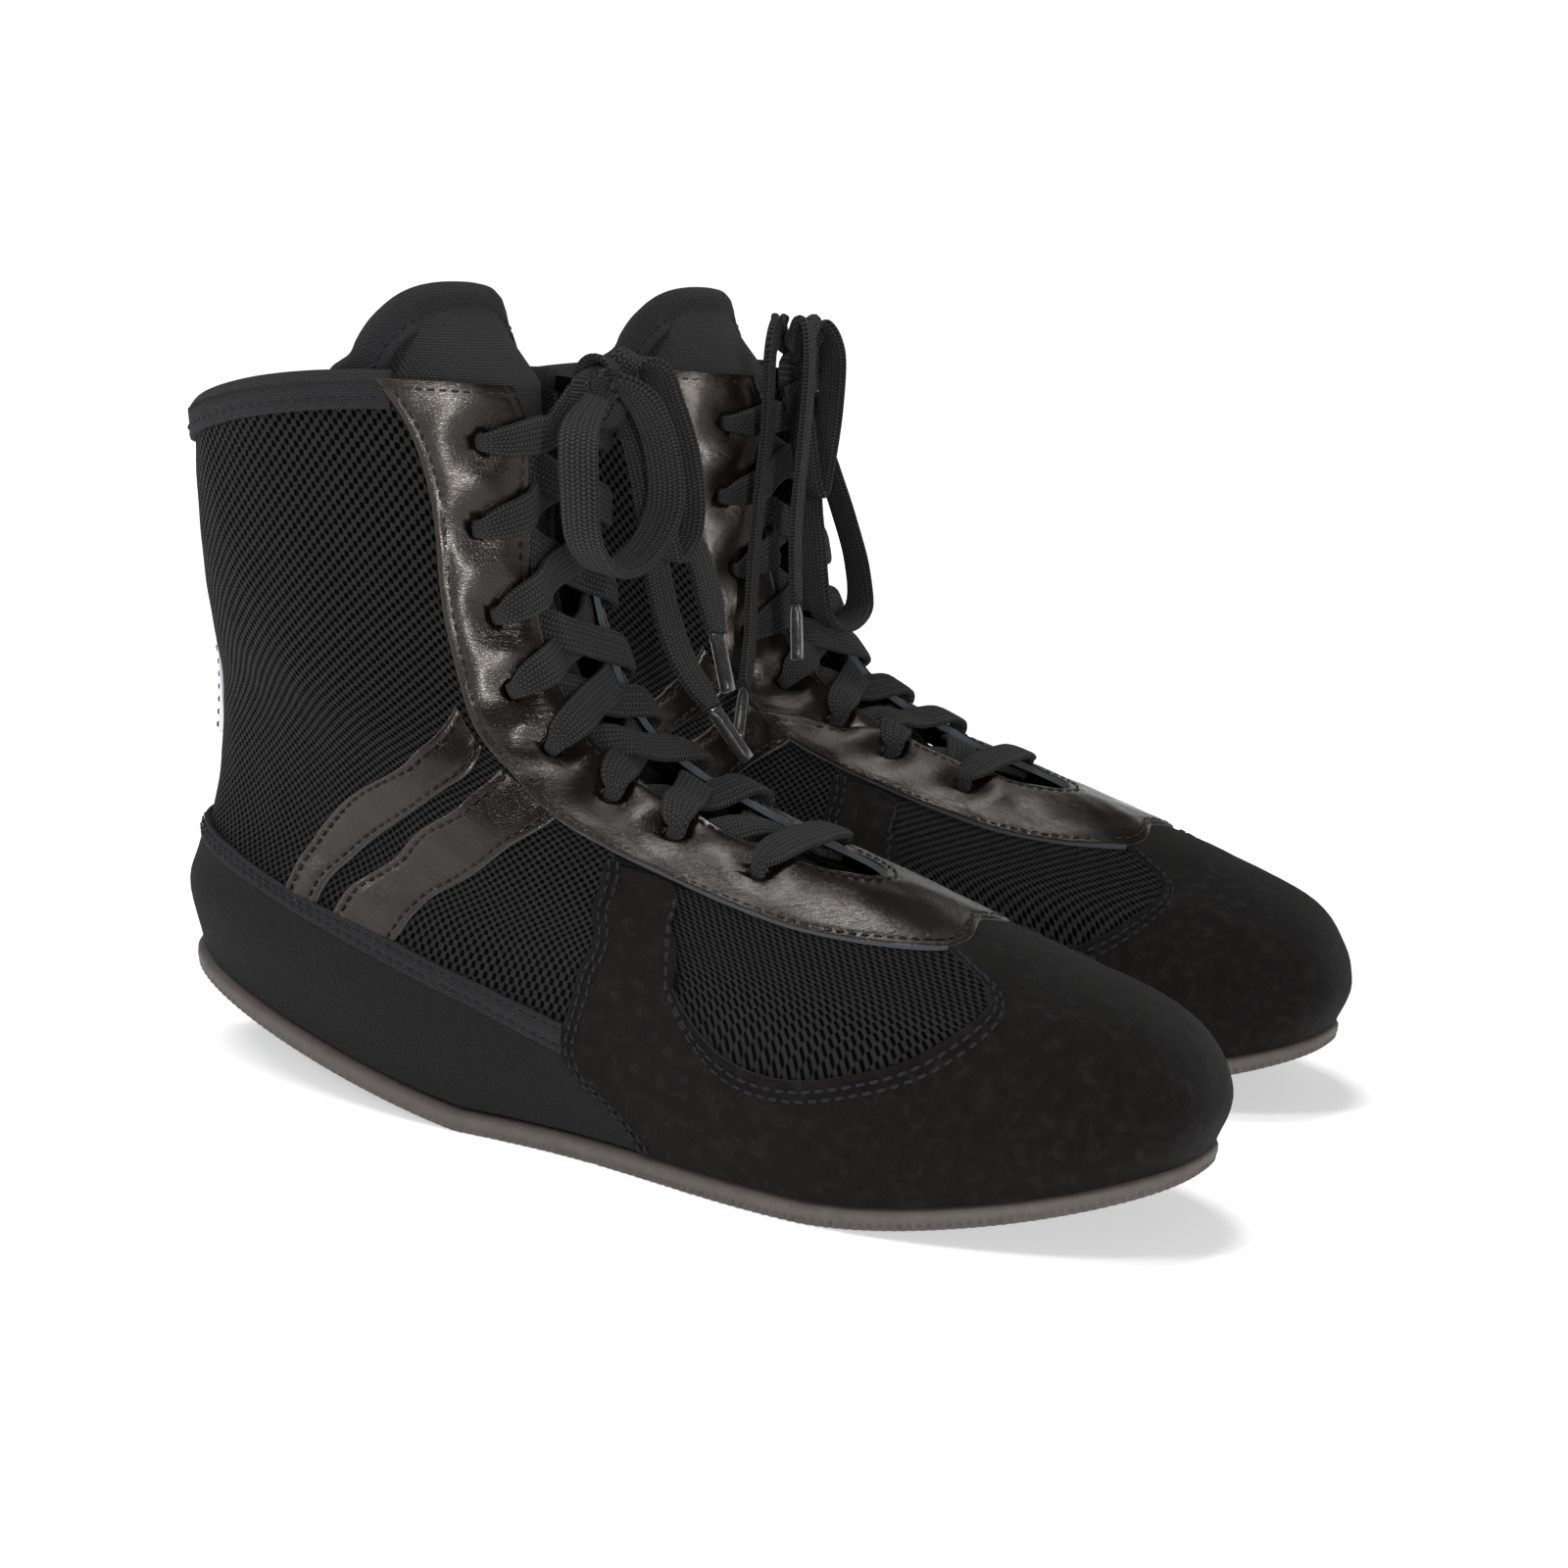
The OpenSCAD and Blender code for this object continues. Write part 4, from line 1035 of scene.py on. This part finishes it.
def add_suede():
    u, v = suede_grid(SUEDE_COLUMNS, spaced(78, 2.6))

    def relief(p, v):
        tuck = 0.75 * smooth(0.4, 0.47, v)
        return 0.14 * waves(p, 17, 8) + 0.08 * waves(p, 6, 9) - tuck

    panel("suede_toe", u, v, SUEDE_LAYER, [SUEDE, SUEDE_EDGE], "suede", relief, roll=0.5,
          groove=0.25, open_sides="b")
    count = len(SUEDE_EDGE_LINE) - 1
    window = np.abs(np.linspace(-count, count, SUEDE_COLUMNS))
    middle = SUEDE_COLUMNS // 2
    for keep in (slice(0, middle + 1), slice(middle, SUEDE_COLUMNS)):
        rim = (window[keep] > 2.6) & (window[keep] < count - 2)
        inset_rows(dark_stitches, u[:, keep][:, rim], v[:, keep][:, rim], 2.0, (2.2, 4.2), "t")
    inset_rows(dark_stitches, u, v, 2.0, (2.0, 4.0), "lr")


def side_grid(line, count, start, rows, low=None):
    """A grid round the heel, from the low line up to just at the other."""
    w = np.linspace(start, 1 - start, count)
    at = np.minimum(w, 1 - w)
    bottom = np.full(w.shape, LOWEST_V) if low is None else table(low, at)
    top = table(line, at) - (0.004 if low is None else 0)
    v = bottom[None] + (top - bottom)[None] * rows[:, None]
    return np.repeat(w[None], len(rows), 0), v


def add_side_canvas():
    u, v = side_grid(TAPE_TOP, 130, 0.23, spaced(36, 3.0))
    panel("side_canvas", u, v, CANVAS_LAYER, [CANVAS, CANVAS_EDGE], "canvas",
          lambda p, v: 0.1 * waves(p, 25, 11), roll=0.2, open_sides="b")
    u, v = side_grid(TAPE_TOP, 160, 0.2545, spaced(9.5, 0.9, (0.4, 0.9, 1.5, 2.1)), TAPE_LOW)
    panel("band_tape", u, v, TAPE_LAYER, [TAPE, TAPE], "woven_tape",
          lambda p, v: 0.08 * waves(p, 9, 12), roll=0.35, groove=0.3, groove_at=1.5,
          open_sides="lr")
    inset_rows(dark_stitches, u, v, 2.0, (1.5,), "bt", **FINE)


def add_bands():
    for name, (line_a, line_b) in (("rear_bands", REAR_BAND), ("front_bands", FRONT_BAND)):
        x = np.linspace(0, len(line_a) - 1, 60)
        w = spaced(13, 1.3)
        u, v = between(line_a, line_b, x, w)
        sheets = []
        for s in (1, -1):
            sheets.append(sheet_shape(
                s * u, v, *BAND, lambda p, v: 0.12 * waves(p, 11, 21), groove=0.3,
                open_sides="bt", groove_at=2.0))
            inset_rows(brown_stitches, s * u, v, 1.6, (2.0,), "lr", **CLOSE)
        shapes, uvs, kinds, rims = zip(*sheets)
        shape, starts = joined(shapes)
        rings = [[i + start for i in ring] for rim, start in zip(rims, starts) for ring in rim]
        both(name, shape, [LEATHER, LEATHER_EDGE], [name],
             uv=np.vstack(uvs), face_material=np.concatenate(kinds), sharp=rings)


def mirrored(line):
    return list(line) + [(-p[0], p[1]) for p in line[-2::-1]]


SEAM_AT = 17.6  # where the two eyestays meet, as a place along the throat's outline
HOLE_R = 2.3
HOLE_SIDES = 24


def pull(p, v):
    """Leather drawn in at each lace hole and swelling between the holes."""
    t = 0.25 * waves(p, 20, 31) + 0.1 * waves(p, 8, 32)
    fine = waves(p, 6.5, 33)
    for hu, hv in HOLES:
        for s in (1, -1):
            d = np.linalg.norm(p - last(s * hu, hv), axis=-1)
            near = np.exp(-((d - 8.5) / 3.5) ** 2)
            t = t - 0.9 * np.exp(-(d / 4.6) ** 2) + (0.4 + 0.16 * fine) * near
    return t


def hole_cutters(sides_holes, side):
    """Short punches through the leather at the lace holes, joined into one mesh."""
    verts, faces = [], []
    m = HOLE_SIDES
    a = np.linspace(0, 2 * np.pi, m, endpoint=False)
    for s, k in sides_holes:
        hu, hv = s * HOLES[k][0], HOLES[k][1]
        n = normal(hu, hv)
        x = unit(np.cross(n, (0, 0, 1.0)))
        y = np.cross(n, x)
        start = len(verts) * m
        for h in (-3, 6):
            verts.append(last(hu, hv) + n * h
                         + HOLE_R * (np.cos(a)[:, None] * x + np.sin(a)[:, None] * y))
        faces += [[start + i, start + (i + 1) % m, start + m + (i + 1) % m, start + m + i]
                  for i in range(m)]
        faces += [[start + i for i in range(m)][::-1], [start + m + i for i in range(m)]]
    if side == "right":
        faces = [f[::-1] for f in faces]
    return new_object("cutter", place(side, np.vstack(verts)), faces, [LEATHER_EDGE])


def punch(ob, sides_holes, side):
    cutter = hole_cutters(sides_holes, side)
    modifier = ob.modifiers.new("holes", "BOOLEAN")
    modifier.object = cutter
    modifier.operation = "DIFFERENCE"
    modifier.solver = "EXACT"
    bpy.context.view_layer.update()
    graph = bpy.context.evaluated_depsgraph_get()
    mesh = bpy.data.meshes.new_from_object(ob.evaluated_get(graph))
    ob.modifiers.clear()
    ob.data = mesh
    bpy.data.objects.remove(cutter)


def add_eyestays():
    line_in, line_out = mirrored(THROAT_IN), mirrored(THROAT_OUT)
    for name, x0, x1, holes in (
            ("eyestay_lateral", 0, SEAM_AT, [(1, k) for k in range(8)] + [(-1, 6), (-1, 7)]),
            ("eyestay_medial", SEAM_AT - 0.12, len(line_in) - 1,
             [(-1, k) for k in range(6)])):
        x = np.linspace(x0, x1, int((x1 - x0) * 9))
        w = spaced(25, 1.7)
        u, v = between(line_in, line_out, x, w)
        v = np.minimum(v, 1.004)
        made = panel(name, u, v, EYESTAY[name], [LEATHER, LEATHER_EDGE], "gloss_leather",
                     pull, roll=0.45, groove=0.32)
        for side, ob in made.items():
            punch(ob, holes, side)
        ends = "lrb" if name == "eyestay_lateral" else "lrt"
        top = EYESTAY[name][1] - 0.15
        inset_rows(brown_stitches, u, v, top, (2.2,), ends, **CLOSE)
        if name == "eyestay_lateral":
            inset_rows(brown_stitches, u, v, top, (3.0,), "t", **FINEST)


def collar_section():
    """Outline of the folded tape: (distance below the edge in mm, offset in mm)."""
    outer = [(9.0, 0.7), (9.0, 1.5), (8.2, 1.75), (6.5, 1.6), (5.2, 1.75), (2.5, 1.9)]
    top = [(3.5 - 3.4 * math.cos(a), -1.7 + 3.5 * math.sin(a))
           for a in np.linspace(1.35, -1.35, 11)]
    inner = [(5.2, -5.1), (6.5, -4.9), (8.4, -5.0), (8.6, -4.3)]
    return np.array(outer + top + inner)


def add_collar():
    section = collar_section()
    us = np.linspace(0.176, 0.824, 150)
    loop = len(section)
    u = np.repeat(us[:, None], loop, 1)
    down, t = section[:, 0][None], section[:, 1][None]
    edge = last(us, np.full(us.shape, 1.0))
    below = last(us, np.full(us.shape, 0.94))
    per_v = np.linalg.norm(edge - below, axis=-1)[:, None] / 0.06
    v = COLLAR_V - down / per_v
    p = lift(u, v, np.repeat(t, len(us), 0))
    p = p + normal(u, v) * (0.12 * waves(p, 9, 41))[..., None]
    uv = section_uv(run_length(edge[:, None], 0), section)
    both("collar_binding", (p.reshape(-1, 3), tube_faces(len(us), loop)), [TAPE],
         ["collar_binding"], uv=uv)
    line = us[2:-2]
    dark_stitches.uv_row(line, COLLAR_V - 6.5 / per_v[2:-2, 0], 1.65, **FINE)


def add_heel_patch():
    u, v = np.meshgrid(np.linspace(0.462, 0.538, 26), 0.5 + 0.18 * spaced(27, 1.3))
    panel("heel_patch", u, v, PATCH, [SILVER, SILVER], "silver_film", roll=0.4, groove=0.25,
          groove_at=1.6)
    inset_rows(dark_stitches, u, v, 1.85, (1.6,), "lrbt", length=1.8, radius=0.22)


def add_linings():
    u, v = np.meshgrid(np.linspace(0, 1, 97)[:-1], np.linspace(0.03, 0.455, 30))
    wrap = grid_faces(*u.shape, 0, False, wrap=True)
    n = u.size
    outer = lift(u, v, np.full(u.shape, -3.3)).reshape(-1, 3)
    inner = lift(u, v, np.full(u.shape, -4.3) + 0.2 * waves(last(u, v), 20, 51)).reshape(-1, 3)
    cols = u.shape[1]
    ring = np.array([[c, (c + 1) % cols, n + (c + 1) % cols, n + c] for c in range(cols)])
    edge = ring + (u.shape[0] - 1) * cols
    faces = np.vstack([wrap, wrap[:, ::-1] + n, ring[:, ::-1], edge])
    both("vamp_lining", (np.vstack([outer, inner]), faces), [LINING],
         ["vamp_lining"])
    u, v = np.meshgrid(np.linspace(0.15, 0.85, 90), np.linspace(0.45, 0.99, 46))
    panel("quarter_lining", u, v, QUARTER_LINING, [LINING, LINING], "lining_fabric", soft)


# ------------------------------------------------------------------ sole
def foot(u, grow):
    """Plan outline of the feather line, grown outwards."""
    p = last(u, np.zeros_like(u))
    q = last(u + 0.003, np.zeros_like(u)) - last(u - 0.003, np.zeros_like(u))
    m = np.linalg.norm(q[:, :2], axis=1)
    return np.stack([p[:, 0] + grow * q[:, 1] / m, p[:, 1] - grow * q[:, 0] / m], 1)


def slab(grow_rows, heights, count=720, ribs=None):
    """A plate that follows the sole: rings of the outline at set heights, then caps."""
    u = np.linspace(0, 1, count, endpoint=False)
    rings = []
    for k, (g, h) in enumerate(zip(grow_rows, heights)):
        plan = foot(u, g + (ribs[k] * rib_wave(u) if ribs else 0))
        rings.append(np.column_stack([plan, sole_z(plan[:, 1]) + h]))
    rows = len(rings)
    faces = grid_faces(rows, count, 0, False, wrap=True).tolist()
    for start, flip in ((0, True), ((rows - 1) * count, False)):
        # strips across the plate, joining the two halves of the ring
        half = count // 2
        for i in range(half - 1):
            a, b = i, i + 1
            c, d = (count - i - 1) % count, (count - i) % count
            quad = [start + a, start + b, start + c, start + d]
            if i == 0:
                quad = [start + a, start + b, start + c]
            faces.append(quad if flip else quad[::-1])
        faces.append(([start + half - 1, start + half, start + half + 1])[::1 if flip else -1])
    return np.vstack(rings), faces


def rib_wave(u):
    """Fine ribs in the lower edge of the outsole, strongest round the forefoot."""
    p = last(u, np.zeros_like(u))
    s = run_length(p[:, None], 0)[:, 0]
    strength = 1 - 0.75 * smooth(-10, 60, p[:, 1])
    tooth = np.abs(((s / 2.1) % 1) - 0.5) * 2
    return -strength * smooth(0.25, 0.75, tooth)


def add_sole():
    grow = [0.8, 2.0, 2.7, 2.8, 3.0, 3.0, 2.7, 1.6, 0.4, -1.0, -2.0]
    high = [0.0, 0.0, 0.35, 1.5, 1.9, 3.3, 4.0, 4.5, 4.8, 4.8, 4.1]
    ribs = [0.0, 0.35, 0.75, 0.75] + [0.0] * 7
    shape = slab(grow, high, 1440, ribs)
    both("outsole", shape, [RUBBER], ["outsole"])
    shape = slab([-6.1, -5.8, -5.8, -6.5], [6.0, 6.4, 7.6, 8.0], 360)
    both("sock_liner", shape, [SOCK], ["sock_liner"])


# ------------------------------------------------------------------ tongue
TONGUE_V = 0.5
TONGUE_HALF = [(0, 0.065), (0.34, 0.105), (0.55, 0.145), (0.75, 0.185), (1, 0.225)]
TONGUE_RISE = 23.0
TONGUE_LEAN = 12.0
TONGUE_FLATTEN = 14  # how far the sides above the collar come forward
TONGUE_FACE = -8.9
TONGUE_BACK = -12.6
PUFF_MOST = 2.6  # how far the cloth simulation may move a point, in mm


def tongue_point(a, w, t):
    """a across from -1 to 1, w up from 0 to 1 at the collar and 2 at the top."""
    a, w = np.broadcast_arrays(np.asarray(a, float), np.asarray(w, float))
    low = np.minimum(w, 1)
    u = a * table(TONGUE_HALF, low)
    arch = np.clip(1 - 0.98 * np.abs(a) ** 2, 0, None) ** 0.7
    rise = np.maximum(w - 1, 0) * TONGUE_RISE * arch
    p = lift(u, TONGUE_V + (1 - TONGUE_V) * low, np.broadcast_to(t, a.shape))
    lean = TONGUE_LEAN * smooth(0.6, 1.9, w) - TONGUE_FLATTEN * a * a * smooth(1, 2, w)
    return p + rise[..., None] * (0, 0.3, 0.95) + lean[..., None] * (0, 1, 0)


def puff(ob, hold, frames=14):
    """Swells a closed, sewn piece by cloth simulation, holding the given vertices."""
    group = ob.vertex_groups.new(name="sewn")
    group.add([int(i) for i in hold], 1.0, "REPLACE")
    modifier = ob.modifiers.new("cloth", "CLOTH")
    settings = modifier.settings
    settings.quality = 4
    settings.mass = 0.25
    settings.tension_stiffness = settings.compression_stiffness = 25
    settings.bending_stiffness = 1.5
    settings.use_pressure = True
    settings.uniform_pressure_force = 2.2
    settings.vertex_group_mass = "sewn"
    settings.effector_weights.gravity = 0
    modifier.collision_settings.use_collision = False
    modifier.point_cache.frame_start = 1
    modifier.point_cache.frame_end = frames
    scene = bpy.context.scene
    for f in range(1, frames + 1):
        scene.frame_set(f)
    graph = bpy.context.evaluated_depsgraph_get()
    now = ob.evaluated_get(graph).to_mesh()
    rest = np.zeros(len(ob.data.vertices) * 3)
    moved = np.zeros_like(rest)
    ob.data.vertices.foreach_get("co", rest)
    now.vertices.foreach_get("co", moved)
    ob.evaluated_get(graph).to_mesh_clear()
    step = (moved - rest).reshape(-1, 3)
    far = np.linalg.norm(step, axis=1, keepdims=True)
    step *= np.minimum(1, PUFF_MOST * MM / np.maximum(far, 1e-9))
    ob.modifiers.clear()
    ob.vertex_groups.clear()
    ob.data.vertices.foreach_set("co", rest + step.ravel())
    ob.data.update()
    scene.frame_set(1)


def hang(obs):
    """Bakes each tongue piece's placement into its mesh."""
    for side, ob in obs.items():
        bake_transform(ob)


def add_tongue():
    w = np.concatenate([np.linspace(0, 1, 52), np.linspace(1, 2, 14)[1:]])
    edge = spaced(2.0, 0.075, (0.02, 0.06, 0.11, 0.17, 0.24))
    a, w = np.meshgrid(2 * edge - 1, w)
    rim = np.minimum(1 - np.abs(a), (2 - w) * 0.55)
    pad = smooth(0.0, 0.5, rim)
    front = tongue_point(a * 0.985, np.minimum(w, 1.985), TONGUE_FACE - 1.0 * (1 - pad))
    back = tongue_point(a * 0.985, np.minimum(w, 1.985), TONGUE_BACK + 1.2 * (1 - pad))
    rows, cols = a.shape
    n = rows * cols
    _, walls = rim_walls(rows, cols, True)
    faces = np.vstack([grid_faces(rows, cols), grid_faces(rows, cols, n, True), walls])
    verts = np.vstack([front.reshape(-1, 3), back.reshape(-1, 3)])
    kind = np.concatenate([np.zeros((rows - 1) * (cols - 1)),
                           np.ones((rows - 1) * (cols - 1) + len(walls))])
    made = both("tongue", (verts, faces), [TONGUE_CANVAS, LINING],
                ["tongue", "tongue_pad", "tongue_base"], body=None, face_material=kind)
    sewn = np.flatnonzero(((rim < 0.2) | (w < 0.15)).ravel())
    hold = np.concatenate([sewn, sewn + n])
    for ob in made.values():
        puff(ob, hold)
    hang(made)


def tongue_edge(count):
    """The tongue's edge from one side over the top to the other, as (a, w)."""
    up = [(1, w) for w in (0.42, 0.6, 0.8, 0.96)]
    over = [(0.99, 1.5), (0.95, 1.95), (0.85, 2), (0.7, 2), (0.48, 2), (0.24, 2), (0, 2)]
    line = mirrored(up + over)
    return through(line, np.linspace(0, len(line) - 1, count))


def add_tongue_binding():
    path = tongue_edge(170)
    centre = tongue_point(path[:, 0] * 0.985, path[:, 1], (TONGUE_FACE + TONGUE_BACK) / 2)
    tangent = unit(np.gradient(centre, axis=0))
    for _ in range(24):
        tangent[1:-1] = unit(tangent[:-2] + 2 * tangent[1:-1] + tangent[2:])
    out = unit(tongue_point(path[:, 0] * 0.99, np.minimum(path[:, 1], 2.0), -8.0)
               - tongue_point(path[:, 0] * 0.99, np.minimum(path[:, 1], 2.0), -11.0))
    inward = unit(np.cross(tangent, out))
    middle = tongue_point(0, 1.3, -10.5)
    flip = np.sign(((middle - centre) * inward).sum(1))
    inward = inward * np.where(flip == 0, 1, flip)[:, None]
    section = np.array([(8.6, 1.5), (8.4, 2.0), (7.0, 2.2), (5.6, 1.8), (4.2, 2.2), (2.0, 2.4),
                        (0.4, 2.2), (-0.7, 1.3), (-1.0, 0), (-0.7, -1.3), (0.4, -2.2),
                        (2.0, -2.3), (5.0, -2.1), (7.0, -2.1), (7.2, -1.4), (5.0, -1.2),
                        (5.0, 1.0)])
    p = (centre[:, None] + inward[:, None] * section[None, :, :1]
         + out[:, None] * section[None, :, 1:])
    ring_normal = np.cross(p[1, 0] - p[0, 0], p[0, 1] - p[0, 0])
    faces = tube_faces(len(path), len(section), np.dot(ring_normal, out[0]) < 0)
    made = both("tongue_binding", (p.reshape(-1, 3), faces), [TAPE],
                ["tongue_binding"], body=None,
                uv=section_uv(run_length(centre[:, None], 0), section))
    hang(made)
    rows = Stitches()
    rows.row(centre + inward * 5.6 + out * 2.0, out, **FINE)
    hang(rows.make("tongue_stitches", DARK_THREAD, None))


# ------------------------------------------------------------------ CAD nodes that stay
def dress_cad_nodes():
    for node, material in (("insole_board", BOARD), ("heel_counter", STIFFENER),
                           ("toe_puff", STIFFENER)):
        for side in SIDES:
            slots = frame["nodes"][f"{side}_{node}"].data.materials
            slots.clear()
            slots.append(material)


# ------------------------------------------------------------------ studio
# Name, place, size in metres and power in watts
LIGHTS = [("key", (-1.08, -0.82, 0.3), (0.06, 0.42), 11),
          ("top", (0.05, 0.1, 1.25), (0.3, 0.3), 6.5),
          ("high_left", (-0.62, 0.3, 1.05), (0.14, 0.5), 5),
          ("rear_left", (-0.75, 0.95, 0.55), (0.12, 0.6), 3)]
LIGHTS_FACE = Vector((0, 0, 0.07))
FLOOR_HALF = 6.0
SKY_FADE = (0.2, 0.36)  # the sky is bright below the first height and dim above the second
SKY_BRIGHT = 1.04
SKY_DIM = 0.1


def area_light(name, where, size, power):
    data = bpy.data.lights.new(name, "AREA")
    data.shape = "RECTANGLE"
    data.size, data.size_y = size
    data.energy = power
    light = bpy.data.objects.new(name, data)
    light.location = where
    facing = (LIGHTS_FACE - Vector(where)).to_track_quat("-Z", "Y")
    light.rotation_euler = facing.to_euler()
    bpy.context.scene.collection.objects.link(light)


def add_studio():
    h = FLOOR_HALF
    corners = np.array([(-h, -h, 0), (h, -h, 0), (h, h, 0), (-h, h, 0)])
    floor = new_object("floor", corners, [[0, 1, 2, 3]], [FLOOR])
    world = bpy.data.worlds.new("studio")
    world.use_nodes = True
    nodes, links = world.node_tree.nodes, world.node_tree.links
    where = nodes.new("ShaderNodeTexCoord")
    split = nodes.new("ShaderNodeSeparateXYZ")
    fade = nodes.new("ShaderNodeMapRange")
    for socket, value in enumerate((*SKY_FADE, SKY_BRIGHT, SKY_DIM), 1):
        fade.inputs[socket].default_value = value
    links.new(where.outputs["Generated"], split.inputs[0])
    links.new(split.outputs[2], fade.inputs[0])
    background = nodes["Background"]
    background.inputs[0].default_value = (1, 1, 1, 1)
    links.new(fade.outputs[0], background.inputs[1])
    bpy.context.scene.world = world
    for light in LIGHTS:
        area_light(*light)
    bpy.context.scene.view_settings.view_transform = "Standard"


add_quarters()
add_vamp()
add_suede()
add_side_canvas()
add_bands()
add_eyestays()
add_collar()
add_heel_patch()
add_linings()
add_sole()
add_tongue()
add_tongue_binding()
dark_stitches.make("cloth_stitches", DARK_THREAD)
brown_stitches.make("leather_stitches", BROWN_THREAD)
dress_cad_nodes()
add_studio()
